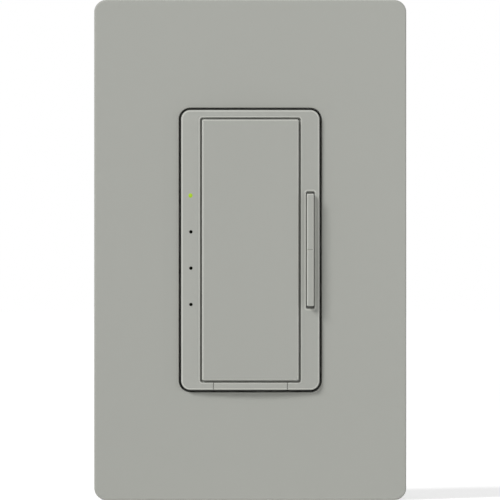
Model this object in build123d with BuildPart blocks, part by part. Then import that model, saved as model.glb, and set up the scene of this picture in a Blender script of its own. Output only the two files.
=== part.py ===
from build123d import *
import os
from math import radians, sin, sqrt

# Fan speed control switch with a screwless wallplate, for a one-gang wall box.
# Millimetres. X is right, Z is up, the wall is the plane Y = 0 and the front faces -Y.
# A depth is a distance in front of the wall, and it is negative behind the wall.
# The origin is the middle of the device on the wall plane.

# The housing fits under the bezel, and the screws stand beyond the housing's ends.
# These give the standard 83.3 and 96.8 mm screw spacings of a one-gang wall box.
housing_beyond_bezel = 1.6
box_screw_beyond_housing = 6.65
plate_screw_beyond_box_screw = 6.75

# Wallplate cover
plate_width = 74.5
plate_beyond_screws = 11.3
plate_depth = 7.6
plate_corner_radius = 2.9
plate_edge_round = 0.4
plate_wall = 1.9
plate_skin = 1.9
opening_gap = 0.52
opening_edge_chamfer = 0.12
lip_wall = 1.4
lip_clearance = 0.3
catch_length = 9.0
catch_grip = 0.6
catch_height = 30.0
catch_clearance = 0.08
cover_rib_width = 1.0
cover_rib_drop = 1.1
pry_slot_width = 7.0
pry_slot_depth = 1.1

# Wallplate adapter, the plate under the cover
adapter_thickness = 2.0
adapter_side_gap = 1.35
adapter_corner_radius = 2.5
adapter_opening_gap = 0.65
adapter_rib_width = 1.2
adapter_rib_height = 1.0

# Mounting yoke
yoke_thickness = 1.3
yoke_inset = 3.0
yoke_corner_radius = 3.0
score_width = 0.8
score_depth = 0.35
score_inset = 9.0
score_notch = 2.2
yoke_clearance = 0.2
box_slot_length = 7.6
box_slot_play = 0.4

# Bezel frame
side_band = 4.48
end_band = 1.77
bezel_corner_radius = 2.2
bezel_edge_depth = 8.8
bezel_crown = 0.8
bezel_skin = 1.6
bezel_wall = 0.9
bezel_web = 0.72
bezel_edge_chamfer = 0.2
flange_reach = 0.5
flange_tall = 1.0
bay_bottom_rail = 1.6
hook_height = 22.0
hook_width = 5.0
hook_catch = 0.6
hook_reach = 1.4
hook_clearance = 0.05
hook_root = 0.5
hook_land = 0.3

# Tap paddle
paddle_width = 23.1
paddle_height = 62.3
paddle_gap = 0.48
paddle_proud = 0.3
paddle_skin = 1.6
paddle_rim_wall = 1.1
paddle_rim_back = 4.3
paddle_corner_radius = 0.4
paddle_edge_chamfer = 0.28
paddle_hinge_drop = 1.9
paddle_hinge_depth = 5.2
paddle_pin_radius = 0.9
paddle_pin_length = 1.1
paddle_rib_width = 0.9
paddle_rib_setback = 1.0
paddle_tilt = 0.7
stop_lug_rise = 5.2
stop_lug_length = 3.0
stop_lug_thickness = 1.2
pin_clearance = 0.05
pin_entry_grip = 0.15
bearing_wall = 2.4

# Paddle switch on the control board
switch_height = 5.0
switch_width = 6.0
switch_body_tall = 3.1
plunger_half_width = 1.5
plunger_top = 0.4
plunger_engaged = 1.6
plunger_spare = 0.15
post_half_width = 1.6
post_clearance = 0.05

# Paddle return spring
spring_thickness = 0.3
spring_width = 5.0
spring_foot = 6.0
spring_arm = 10.0
spring_bend = 1.2
spring_tip = 2.0
spring_boss_height = -9.0
spring_boss_length = 3.4

# Speed rocker
rocker_width = 1.7
rocker_length = 26.85
rocker_proud = 1.9
rocker_side_gap = 0.17
rocker_offset = 0.12
rocker_end_gap = 0.575
rocker_edge_chamfer = 0.24
rocker_corner_radius = 0.3
rocker_groove_width = 0.9
rocker_groove_depth = 0.2
rocker_base_length = 25.0
rocker_base_tall = 1.6
rocker_base_drop = 0.6
rocker_base_clearance = 0.1
rocker_pin_radius = 0.6
rocker_post_height = 9.5
rocker_post_half_width = 0.8

# Raise and lower keypad
keypad_base_width = 3.4
keypad_base_thickness = 0.8
keypad_end = 2.6
dome_base_half_width = 1.6
dome_top_half_width = 0.95
dome_tall = 2.3
dome_clearance = 0.1

# Light guide with one post for each speed indicator
light_count = 4
light_spacing = 8.66
light_post_radius = 0.38
light_post_clearance = 0.03
light_post_recess = 0.06
light_rail_thickness = 1.4
light_rail_end = 2.4
light_rail_clearance = 0.15
light_stem_width = 1.6
light_peg_width = 1.0
light_peg_length = 1.9

# Service tab
tab_width = 17.5
tab_gap = 0.15
tab_travel = 3.5
tab_rib_reach = 0.5
tab_rib_thickness = 0.7
tab_rib_length = 2.9
tab_rib_clearance = 0.1
tab_stem_width = 10.0
tab_stem_thickness = 1.0
tab_stem_reach = 8.0
tab_nick_depth = 0.45
tab_nick_width = 1.2
tab_nick_drop = 1.8

# Insulating sheet behind the yoke
insulator_thickness = 0.5
insulator_gap = 0.4

# Circuit boards
board_thickness = 1.6
board_gap = 0.4
board_end_gap = 2.2
control_board_front = 3.8
parts_headroom = 4.0
rear_gap = 1.2

# Rear housing
housing_wall = 1.8
housing_corner_radius = 3.0
housing_rear_chamfer = 2.5
boss_radius = 2.4
boss_inset = 3.7
standoff_width = 3.0
strip_gauge_length = 12.0
strip_gauge_width = 2.0
strip_gauge_depth = 0.6

# Terminal pockets in the housing's sides
terminal_height = 13.0
pocket_tall = 11.6
pocket_span = 10.6
pocket_reach = 7.1
pocket_wall = 1.3
terminal_plate_thickness = 1.0
terminal_plate_gap = 0.4
terminal_tail_width = 3.0
terminal_tail_gap = 0.1
clamp_gap = 1.5
clamp_thickness = 1.0
clamp_width = 7.6
clamp_ridge = 0.8
terminal_head_radius = 3.3
terminal_head_tall = 2.0
terminal_shank_radius = 1.75
terminal_tip = 0.8

# Parts that stand on the boards
part_gap = 1.175
relay_width = 10.0
relay_tall = 15.3
capacitor_width = 9.0
capacitor_tall = 16.0
part_chamfer = 0.5
header_width = 2.5
header_pins = 5
header_spacing = 2.5
header_block = 6.0
header_pin_width = 0.7
can_radius = 4.0
can_tall = 12.0
can_chamfer = 0.5
varistor_radius = 4.2
varistor_thickness = 2.8
varistor_rise = 0.8
varistor_lead_spacing = 5.0
resistor_radius = 1.7
resistor_length = 9.0
resistor_rise = 0.6
lead_width = 0.7
lead_reach = 1.5
core_inner = 1.8
core_outer = 4.0
core_tall = 7.0
winding_tall = 5.0
winding_inset = 0.3
chip_width = 7.0
chip_leg = 0.9
chip_tall = 1.2
chip_height = 18.0
led_long = 1.6
led_short = 0.9
led_tall = 0.6

# Air-gap contacts under the service tab's stem
contact_zone = 12.4
leaf_thickness = 0.3
leaf_width = 6.0
leaf_clearance = 0.05
leaf_bend = 0.8
contact_radius = 1.2
contact_tall = 0.6
contact_from_foot = 7.6
fixed_foot = 3.0
fixed_reach = 2.0

# Cuts and joined shapes reach past a face by this much
overrun = 0.1

# Screws
screw_clearance = 0.05
slot_width = 0.9
slot_share = 0.45
box_head_radius = 3.5
box_head_tall = 2.0
box_head_room = 1.0
box_thread_radius = 1.75
box_neck_radius = 1.5
box_screw_length = 24.0
retainer_width = 8.0
retainer_thickness = 0.8
retainer_gap = 0.1
adapter_head_radius = 3.1
adapter_head_tall = 1.7
adapter_shank_radius = 1.7
adapter_screw_length = 8.0
housing_head_radius = 2.3
housing_shank_radius = 1.2
housing_screw_length = 13.0
housing_screw_room = 1.0
ground_head_radius = 4.0
ground_head_tall = 2.2
ground_shank_radius = 2.0
ground_screw_offset = 14.0
ground_screw_drop = 5.0
ground_collar_wall = 1.2
ground_collar_tall = 1.8

# Places that follow from the sizes above
hole_width = paddle_width + 2 * paddle_gap
hole_height = paddle_height + 2 * paddle_gap
bezel_width = hole_width + 2 * side_band
bezel_height = hole_height + 2 * end_band
works_width = 2 * relay_width + header_width + 4 * part_gap
housing_width = works_width + 2 * (pocket_reach + pocket_wall)
housing_height = bezel_height + 2 * housing_beyond_bezel
box_screw_spacing = housing_height + 2 * box_screw_beyond_housing
plate_screw_spacing = box_screw_spacing + 2 * plate_screw_beyond_box_screw
plate_height = plate_screw_spacing + 2 * plate_beyond_screws
inner_width = plate_width - 2 * plate_wall
inner_height = plate_height - 2 * plate_wall
adapter_width = inner_width - 2 * adapter_side_gap
adapter_height = inner_height - 2 * adapter_side_gap
adapter_front = yoke_thickness + adapter_thickness
yoke_width = adapter_width - 2 * yoke_inset
yoke_height = adapter_height - 2 * yoke_inset
opening_width = bezel_width + 2 * opening_gap
opening_height = bezel_height + 2 * opening_gap
bay_inner = hole_width / 2 + bezel_web
bay_outer = bezel_width / 2 - bezel_wall
bay_width = bay_outer - bay_inner
bay_centre = (bay_inner + bay_outer) / 2
rocker_centre = bay_centre + rocker_offset
bay_ceiling = bezel_edge_depth - bezel_skin
paddle_front = bezel_edge_depth + bezel_crown + paddle_proud
paddle_back = paddle_front - paddle_skin
hinge_height = paddle_height / 2 - paddle_hinge_drop
bay_top = hinge_height - paddle_pin_radius - bearing_wall
bay_bottom = -hole_height / 2 + bay_bottom_rail
band_height = (bezel_height - hole_height) / 2
band_middle = -(bezel_height + hole_height) / 4
rocker_axis_depth = bay_ceiling - rocker_base_drop - rocker_base_tall / 2
control_board_back = control_board_front + board_thickness
power_board_front = control_board_back + parts_headroom + capacitor_tall
power_board_back = power_board_front + board_thickness
housing_depth = power_board_back + rear_gap + housing_wall
housing_inner_width = housing_width - 2 * housing_wall
housing_inner_height = housing_height - 2 * housing_wall
board_width = housing_inner_width - 2 * board_gap
board_height = housing_inner_height - 2 * board_end_gap
boss_x = housing_width / 2 - boss_inset
boss_z = housing_height / 2 - boss_inset
board_notch = 2 * (boss_radius + board_gap) + boss_inset - boss_radius
board_notch_x = boss_x + (boss_inset - boss_radius) / 2
board_notch_z = boss_z + (boss_inset - boss_radius) / 2
pocket_front = control_board_back + pocket_wall
pocket_back = pocket_front + pocket_span
pocket_centre = (pocket_front + pocket_back) / 2
pocket_floor = housing_width / 2 - pocket_reach
tab_stem_height = band_middle
works_top = housing_inner_height / 2
works_left = -works_width / 2
column_a = works_left + part_gap + relay_width / 2
column_b = column_a + relay_width + part_gap
column_c = column_b + relay_width / 2 + part_gap + capacitor_width / 2
header_x = column_b + relay_width / 2 + part_gap + header_width / 2
leaf_foot_height = contact_zone - works_top
choke_z = works_top - part_gap - core_outer
relay_height = (choke_z - core_outer - leaf_foot_height - 3 * part_gap) / 2
resistor_z = works_top - part_gap - resistor_radius
relay_2_z = resistor_z - resistor_radius - part_gap - relay_height / 2
capacitor_height = relay_2_z - relay_height / 2 - leaf_foot_height - 2 * part_gap
capacitor_2_z = leaf_foot_height + part_gap + capacitor_height / 2
choke_x = -boss_x + boss_radius + part_gap + core_outer
relay_1_z = choke_z - core_outer - part_gap - relay_height / 2
relay_3_z = relay_1_z - relay_height - part_gap
capacitor_1_z = boss_z - boss_radius - part_gap - capacitor_height / 2
header_height = header_pins * header_spacing
header_z = capacitor_1_z - capacitor_height / 2 - 2 * part_gap - header_height / 2
end_parts_z = contact_zone / 2 - works_top
can_x = leaf_width / 2 + part_gap + can_radius
varistor_x = -(leaf_width / 2 + part_gap + varistor_radius)
light_heights = [light_spacing * (index - (light_count - 1) / 2) for index in range(light_count)]
peg_heights = [light_spacing * sign for sign in (-1, 1)]
terminal_sides = [("line", -1, terminal_height), ("load", -1, -terminal_height)]
terminal_sides.append(("companion", 1, -terminal_height))

# The crowned front of the bezel is part of a large cylinder along Z
crown_radius = ((bezel_width / 2) ** 2 + bezel_crown ** 2) / (2 * bezel_crown)


def crown_depth(x):
    """Depth of the bezel's crowned front at a distance x from its centre line."""
    return bezel_edge_depth + bezel_crown - crown_radius + sqrt(crown_radius ** 2 - x ** 2)


def front(depth):
    """Plane that faces the viewer at a depth in front of the wall."""
    return Plane.XZ.offset(depth)


def side(direction, distance, depth, height):
    """Plane that faces right or left, with its own x axis towards the rear."""
    return Plane(origin=(direction * distance, -depth, height), x_dir=(0, 1, 0), z_dir=(direction, 0, 0))


def finish(piece, name):
    """Label a finished piece and write it."""
    piece.part.label = name
    export_step(piece.part, f"parts/{name}.step")


def slotted_screw(seat, head_radius, head_tall, stages):
    """Slotted screw: seat faces out of the head, stages are (radius, length) of the shank."""
    with BuildPart() as screw:
        with BuildSketch(seat):
            Circle(head_radius)
        extrude(amount=head_tall)
        with BuildSketch(seat.offset(head_tall)):
            Rectangle(2 * head_radius, slot_width)
        extrude(amount=-head_tall * slot_share, mode=Mode.SUBTRACT)
        start = 0
        for radius, length in stages:
            with BuildSketch(seat.offset(-start)):
                Circle(radius)
            extrude(amount=-length)
            start = start + length
    return screw


os.makedirs("parts", exist_ok=True)

# Wallplate cover: a shell with a return lip round its opening and catches inside
with BuildPart() as wallplate_cover:
    with BuildSketch(front(0)):
        RectangleRounded(plate_width, plate_height, plate_corner_radius)
    extrude(amount=plate_depth)
    with BuildSketch(front(0)):
        RectangleRounded(inner_width, inner_height, plate_corner_radius - plate_wall / 2)
    extrude(amount=plate_depth - plate_skin, mode=Mode.SUBTRACT)
    lip_back = adapter_front + lip_clearance
    opening_radius = bezel_corner_radius + opening_gap
    with BuildSketch(front(lip_back)):
        lip_width = opening_width + 2 * lip_wall
        lip_height = opening_height + 2 * lip_wall
        RectangleRounded(lip_width, lip_height, opening_radius + lip_wall)
    extrude(amount=plate_depth - plate_skin - lip_back)
    # Locating ribs from the lip to the side walls, and to the top and bottom walls
    rib_front = plate_depth - plate_skin
    rib_run = (inner_width - opening_width) / 2 - lip_wall
    rib_x = opening_width / 2 + lip_wall + rib_run / 2
    with BuildSketch(front(rib_front - cover_rib_drop)):
        with GridLocations(2 * rib_x, 2 * catch_height / 3, 2, 3):
            Rectangle(rib_run + 2 * overrun, cover_rib_width)
    extrude(amount=cover_rib_drop)
    with BuildSketch(front(rib_front - cover_rib_drop)):
        with GridLocations(2 * opening_width / 3, plate_screw_spacing, 2, 2):
            Rectangle(cover_rib_width, inner_height - plate_screw_spacing + 2 * overrun)
    extrude(amount=cover_rib_drop)
    with BuildSketch(front(0)):
        RectangleRounded(opening_width, opening_height, opening_radius)
    extrude(amount=plate_depth, mode=Mode.SUBTRACT)
    fillet(wallplate_cover.faces().sort_by(Axis.Y)[0].outer_wire().edges(), plate_edge_round)
    chamfer(wallplate_cover.faces().sort_by(Axis.Y)[0].inner_wires()[0].edges(), opening_edge_chamfer)
    # Catches that snap behind the adapter's long edges
    catch_front = yoke_thickness - catch_clearance
    catch_tip = adapter_width / 2 - catch_grip
    catch_root = inner_width / 2 + overrun
    for direction in (-1, 1):
        for height in (-catch_height, catch_height):
            with BuildSketch(Plane.XY.offset(height)):
                with BuildLine():
                    Polyline(
                        (direction * catch_root, -catch_clearance),
                        (direction * catch_tip, -catch_front / 2),
                        (direction * catch_tip, -catch_front),
                        (direction * catch_root, -catch_front),
                        close=True,
                    )
                make_face()
            extrude(amount=catch_length / 2, both=True)
    # Slot in the lower edge for prying the cover off
    with BuildSketch(front(0)):
        with Locations((0, -plate_height / 2)):
            Rectangle(pry_slot_width, 2 * (plate_wall + overrun))
    extrude(amount=pry_slot_depth, mode=Mode.SUBTRACT)
finish(wallplate_cover, "wallplate_cover")

# Wallplate adapter: screwed to the yoke, it carries the cover
with BuildPart() as wallplate_adapter:
    with BuildSketch(front(yoke_thickness)):
        RectangleRounded(adapter_width, adapter_height, adapter_corner_radius)
    extrude(amount=adapter_thickness + adapter_rib_height)
    with BuildSketch(front(adapter_front)):
        rim_inset = 2 * adapter_rib_width
        rim_radius = adapter_corner_radius - adapter_rib_width / 2
        RectangleRounded(adapter_width - rim_inset, adapter_height - rim_inset, rim_radius)
    extrude(amount=adapter_rib_height, mode=Mode.SUBTRACT)
    with BuildSketch(front(adapter_front)):
        with Locations((0, 0)):
            Rectangle(adapter_width - adapter_rib_width, adapter_rib_width)
            lip_room = 2 * (lip_wall + lip_clearance)
            Rectangle(opening_width + lip_room, opening_height + lip_room, mode=Mode.SUBTRACT)
        with GridLocations(2 * adapter_width / 3, 0, 2, 1):
            Rectangle(adapter_rib_width, plate_screw_spacing)
    extrude(amount=adapter_rib_height)
    with BuildSketch(front(yoke_thickness)):
        RectangleRounded(
            bezel_width + 2 * adapter_opening_gap,
            bezel_height + 2 * adapter_opening_gap,
            bezel_corner_radius + adapter_opening_gap,
        )
        with GridLocations(0, box_screw_spacing, 1, 2):
            Circle(box_head_radius + box_head_room)
        with GridLocations(0, plate_screw_spacing, 1, 2):
            Circle(adapter_shank_radius + screw_clearance)
    extrude(amount=adapter_thickness + adapter_rib_height, mode=Mode.SUBTRACT)
    chamfer(wallplate_adapter.faces().sort_by(Axis.Y)[0].outer_wire().edges(), adapter_rib_width / 3)
finish(wallplate_adapter, "wallplate_adapter")

# Screws that hold the adapter to the yoke
for name, sign in (("adapter_screw_upper", 1), ("adapter_screw_lower", -1)):
    head_place = (0, -adapter_front, sign * plate_screw_spacing / 2)
    seat = Plane(origin=head_place, x_dir=(1, 0, 0), z_dir=(0, -1, 0))
    adapter_screw = slotted_screw(
        seat, adapter_head_radius, adapter_head_tall, [(adapter_shank_radius, adapter_screw_length)]
    )
    finish(adapter_screw, name)

# Mounting yoke: a plate with windows for everything that passes to the boards
ground_z = -(housing_height / 2 + ground_screw_drop)
with BuildPart() as mounting_yoke:
    with BuildSketch(front(0)):
        RectangleRounded(yoke_width, yoke_height, yoke_corner_radius)
    extrude(amount=yoke_thickness)
    # Scored lines where the side strips break off when switches stand side by side
    with BuildSketch(front(yoke_thickness)):
        with GridLocations(yoke_width - 2 * score_inset, 0, 2, 1):
            Rectangle(score_width, yoke_height)
    extrude(amount=-score_depth, mode=Mode.SUBTRACT)
    # Notches at the strips' ends
    with BuildSketch(front(0)):
        with GridLocations(yoke_width - 2 * score_inset, yoke_height, 2, 2):
            Rectangle(score_notch, score_notch, rotation=45)
        with GridLocations(0, box_screw_spacing, 1, 2):
            SlotOverall(box_slot_length, 2 * (box_thread_radius + box_slot_play))
        with GridLocations(0, plate_screw_spacing, 1, 2):
            Circle(adapter_shank_radius + screw_clearance)
        with GridLocations(2 * boss_x, 2 * boss_z, 2, 2):
            Circle(housing_shank_radius + screw_clearance)
        with Locations((0, switch_height)):
            post_room = 2 * (post_half_width + 3 * yoke_clearance)
            Rectangle(post_room, post_room)
        with Locations((-bay_centre, 0)):
            stem_window = light_stem_width + 2 * yoke_clearance
            Rectangle(stem_window, 2 * light_heights[-1] + stem_window)
        with GridLocations(0, 2 * rocker_post_height, 1, 2):
            with Locations((bay_centre, 0)):
                post_window = 2 * (rocker_post_half_width + yoke_clearance)
                Rectangle(post_window, post_window + 4 * yoke_clearance)
        with Locations((0, tab_stem_height)):
            Rectangle(tab_stem_width + yoke_clearance, tab_stem_thickness + yoke_clearance)
        with GridLocations(bezel_width - bezel_wall + hook_catch, 2 * hook_height, 2, 2):
            Rectangle(bezel_wall + hook_catch + 2 * yoke_clearance, hook_width + 2 * yoke_clearance)
        with Locations((-ground_screw_offset, ground_z)):
            Circle(ground_shank_radius + screw_clearance)
    extrude(amount=yoke_thickness, mode=Mode.SUBTRACT)
    # Countersinks for the housing screws
    countersink_drop = housing_head_radius - housing_shank_radius
    for x in (-boss_x, boss_x):
        for z in (-boss_z, boss_z):
            with BuildSketch(front(yoke_thickness)):
                with Locations((x, z)):
                    Circle(housing_head_radius + screw_clearance)
            extrude(amount=-countersink_drop, taper=45, mode=Mode.SUBTRACT)
    # Collar behind the plate for the ground screw's thread
    with BuildSketch(front(0)):
        with Locations((-ground_screw_offset, ground_z)):
            Circle(ground_shank_radius + ground_collar_wall)
            Circle(ground_shank_radius + screw_clearance, mode=Mode.SUBTRACT)
    extrude(amount=-ground_collar_tall)
finish(mounting_yoke, "mounting_yoke")

# Ground screw, driven in from behind
ground_place = (-ground_screw_offset, ground_collar_tall, ground_z)
ground_seat = Plane(origin=ground_place, x_dir=(1, 0, 0), z_dir=(0, 1, 0))
ground_stages = [(ground_shank_radius, ground_collar_tall + yoke_thickness)]
ground_screw = slotted_screw(ground_seat, ground_head_radius, ground_head_tall, ground_stages)
finish(ground_screw, "ground_screw")

# Wall box screws, each with a thin neck through the yoke and a retainer behind it
neck_length = yoke_thickness + retainer_gap + retainer_thickness
for place, sign in (("upper", 1), ("lower", -1)):
    z = sign * box_screw_spacing / 2
    seat = Plane(origin=(0, -yoke_thickness, z), x_dir=(1, 0, 0), z_dir=(0, -1, 0))
    thread_length = box_screw_length - neck_length
    box_stages = [(box_neck_radius, neck_length), (box_thread_radius, thread_length)]
    box_screw = slotted_screw(seat, box_head_radius, box_head_tall, box_stages)
    finish(box_screw, f"box_screw_{place}")
    with BuildPart() as retainer:
        with BuildSketch(front(-retainer_gap)):
            with Locations((0, z)):
                Rectangle(retainer_width, retainer_width)
                Circle(box_neck_radius + screw_clearance, mode=Mode.SUBTRACT)
        extrude(amount=-retainer_thickness)
    finish(retainer, f"box_screw_retainer_{place}")

# Bezel frame: crowned front, paddle hole, two side bays, bearings, hooks and pegs
with BuildPart() as bezel_frame:
    with BuildSketch(Plane.XY):
        with BuildLine():
            ThreePointArc(
                (-bezel_width / 2, -crown_depth(bezel_width / 2)),
                (0, -crown_depth(0)),
                (bezel_width / 2, -crown_depth(bezel_width / 2)),
            )
            Polyline(
                (bezel_width / 2, -crown_depth(bezel_width / 2)),
                (bezel_width / 2, -yoke_thickness),
                (-bezel_width / 2, -yoke_thickness),
                (-bezel_width / 2, -crown_depth(bezel_width / 2)),
            )
        make_face()
    extrude(amount=bezel_height / 2, both=True)
    fillet(bezel_frame.edges().filter_by(Axis.Y), bezel_corner_radius)
    chamfer(bezel_frame.faces().sort_by(Axis.Y)[0].edges(), bezel_edge_chamfer)
    # Flange at the foot, which closes the gap between the bezel and the cover
    with BuildSketch(front(yoke_thickness)):
        flange_radius = bezel_corner_radius + flange_reach
        flange_width = bezel_width + 2 * flange_reach
        RectangleRounded(flange_width, bezel_height + 2 * flange_reach, flange_radius)
        Rectangle(bezel_width - bezel_wall, bezel_height - end_band, mode=Mode.SUBTRACT)
    extrude(amount=flange_tall)
    # The paddle hole goes right through
    with BuildSketch(front(yoke_thickness)):
        RectangleRounded(hole_width, hole_height, paddle_corner_radius + paddle_gap / 2)
    extrude(amount=2 * bezel_edge_depth, mode=Mode.SUBTRACT)
    # Side bays, open to the rear, for the light guide and the rocker
    with BuildSketch(front(yoke_thickness)):
        with Locations((-bay_centre, (bay_top + bay_bottom) / 2), (bay_centre, (bay_top + bay_bottom) / 2)):
            RectangleRounded(bay_width, bay_top - bay_bottom, bay_width / 6)
    extrude(amount=bay_ceiling - yoke_thickness, mode=Mode.SUBTRACT)
    # Rocker slot and light holes through the skin
    with BuildSketch(front(yoke_thickness)):
        with Locations((rocker_centre, 0)):
            slot_run = rocker_length + 2 * rocker_end_gap
            RectangleRounded(rocker_width + 2 * rocker_side_gap, slot_run, rocker_corner_radius)
        for height in light_heights:
            with Locations((-bay_centre, height)):
                Circle(light_post_radius + light_post_clearance)
    extrude(amount=2 * bezel_edge_depth, mode=Mode.SUBTRACT)
    # Pegs that locate the light guide
    with BuildSketch(front(bay_ceiling)):
        for height in peg_heights:
            with Locations((-bay_centre, height)):
                Rectangle(light_peg_width, light_peg_width)
    extrude(amount=-light_peg_length)
    # Paddle bearings: round seats with a narrower entry from behind
    pin_reach = paddle_width / 2 + paddle_pin_length
    with BuildSketch(Plane.YZ):
        with Locations((-paddle_hinge_depth, hinge_height)):
            Circle(paddle_pin_radius + pin_clearance)
        with Locations((-(paddle_hinge_depth + yoke_thickness) / 2, hinge_height)):
            Rectangle(paddle_hinge_depth - yoke_thickness, 2 * (paddle_pin_radius - pin_entry_grip))
    extrude(amount=pin_reach + 2 * pin_clearance, both=True, mode=Mode.SUBTRACT)
    # Rocker bearings in the web and in the outer wall
    with BuildSketch(Plane.YZ.offset(hole_width / 2)):
        with Locations((-rocker_axis_depth, 0)):
            Circle(rocker_pin_radius + pin_clearance)
        with Locations((-(rocker_axis_depth + yoke_thickness) / 2, 0)):
            Rectangle(rocker_axis_depth - yoke_thickness, 2 * (rocker_pin_radius - pin_entry_grip))
    extrude(amount=bay_outer + bezel_wall / 2 - hole_width / 2, mode=Mode.SUBTRACT)
    # Windows in the webs for the paddle's stop lugs
    lug_height = -paddle_height / 2 + stop_lug_rise
    with BuildSketch(Plane.YZ):
        with Locations((-(bay_ceiling + yoke_thickness) / 2, lug_height)):
            Rectangle(bay_ceiling - yoke_thickness, stop_lug_length + 4 * paddle_gap)
    extrude(amount=bay_inner + bay_width / 4, both=True, mode=Mode.SUBTRACT)
    # Notch for the service tab, with a groove in each end
    with BuildSketch(front(yoke_thickness)):
        with Locations((0, band_middle)):
            Rectangle(tab_width + 2 * tab_gap, band_height + 2 * overrun)
    extrude(amount=2 * bezel_edge_depth, mode=Mode.SUBTRACT)
    groove_front = yoke_thickness + tab_rib_length + tab_travel + tab_rib_clearance
    with BuildSketch(front(yoke_thickness)):
        with Locations((0, band_middle)):
            groove_width = tab_width + 2 * (tab_rib_reach + tab_rib_clearance)
            Rectangle(groove_width, tab_rib_thickness + 2 * tab_rib_clearance)
    extrude(amount=groove_front - yoke_thickness, mode=Mode.SUBTRACT)
    # Hooks that pass through the yoke and catch behind it
    for direction in (-1, 1):
        for height in (-hook_height, hook_height):
            with BuildSketch(Plane.XY.offset(height)):
                with BuildLine():
                    Polyline(
                        (direction * bay_outer, -yoke_thickness - hook_root),
                        (direction * bezel_width / 2, -yoke_thickness - hook_root),
                        (direction * bezel_width / 2, hook_clearance),
                        (direction * (bezel_width / 2 + hook_catch), hook_clearance),
                        (direction * (bezel_width / 2 + hook_catch), hook_clearance + hook_land),
                        (direction * bezel_width / 2, hook_reach),
                        (direction * bay_outer, hook_reach),
                        close=True,
                    )
                make_face()
            extrude(amount=hook_width / 2, both=True)
finish(bezel_frame, "bezel_frame")

# Tap paddle: shallow tray with ribs, hinge pins, a switch post and stop lugs
plunger_face = plunger_top
with BuildPart() as tap_paddle:
    with BuildSketch(front(paddle_rim_back)):
        RectangleRounded(paddle_width, paddle_height, paddle_corner_radius)
    extrude(amount=paddle_front - paddle_rim_back)
    chamfer(tap_paddle.faces().sort_by(Axis.Y)[0].edges(), paddle_edge_chamfer)
    with BuildSketch(front(paddle_rim_back)):
        Rectangle(paddle_width - 2 * paddle_rim_wall, paddle_height - 2 * paddle_rim_wall)
    extrude(amount=paddle_back - paddle_rim_back, mode=Mode.SUBTRACT)
    # Stiffening ribs behind the face
    rib_back = paddle_rim_back + paddle_rib_setback
    with BuildSketch(front(rib_back)):
        with GridLocations(0, paddle_height / 4, 1, 3):
            Rectangle(paddle_width - paddle_rim_wall, paddle_rib_width)
        Rectangle(paddle_rib_width, paddle_height - paddle_rim_wall)
    extrude(amount=paddle_back - rib_back)
    # Post that presses the switch
    with BuildSketch(front(plunger_face + post_clearance)):
        with Locations((0, switch_height)):
            Rectangle(2 * post_half_width, 2 * post_half_width)
    extrude(amount=paddle_back - plunger_face - post_clearance)
    # Boss that the return spring presses on
    spring_top = paddle_back - spring_boss_length
    with BuildSketch(front(spring_top)):
        with Locations((0, spring_boss_height)):
            RectangleRounded(spring_width, 2 * paddle_rib_width, paddle_rib_width / 2)
    extrude(amount=spring_boss_length)
    # Hinge pins at the top
    for direction in (-1, 1):
        pin_root = side(direction, paddle_width / 2 - paddle_rim_wall / 2, paddle_hinge_depth, hinge_height)
        with BuildSketch(pin_root):
            Circle(paddle_pin_radius)
        extrude(amount=paddle_pin_length + paddle_rim_wall / 2)
    # Lugs that stop the paddle's lower end behind the bezel's skin
    with BuildSketch(front(bay_ceiling - pin_clearance)):
        with Locations((0, lug_height)):
            lug_span = 2 * (bay_inner - paddle_gap / 4)
            Rectangle(lug_span, stop_lug_length)
            Rectangle(paddle_width - paddle_rim_wall, stop_lug_length, mode=Mode.SUBTRACT)
    extrude(amount=-stop_lug_thickness)
finish(tap_paddle, "tap_paddle")

# Paddle return spring: a folded leaf that stands on the yoke under the paddle's boss
with BuildPart() as paddle_return_spring:
    foot_depth = yoke_thickness + spring_thickness / 2
    tip_depth = spring_top - post_clearance - spring_thickness / 2
    foot_end = spring_boss_height - spring_arm
    with BuildSketch(Plane.YZ):
        with BuildLine():
            FilletPolyline(
                (-foot_depth, foot_end - spring_foot),
                (-foot_depth, foot_end),
                (-tip_depth, spring_boss_height - spring_tip / 2),
                (-tip_depth, spring_boss_height + spring_tip),
                radius=spring_bend,
            )
        trace(line_width=spring_thickness)
    extrude(amount=spring_width / 2, both=True)
finish(paddle_return_spring, "paddle_return_spring")

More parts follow.
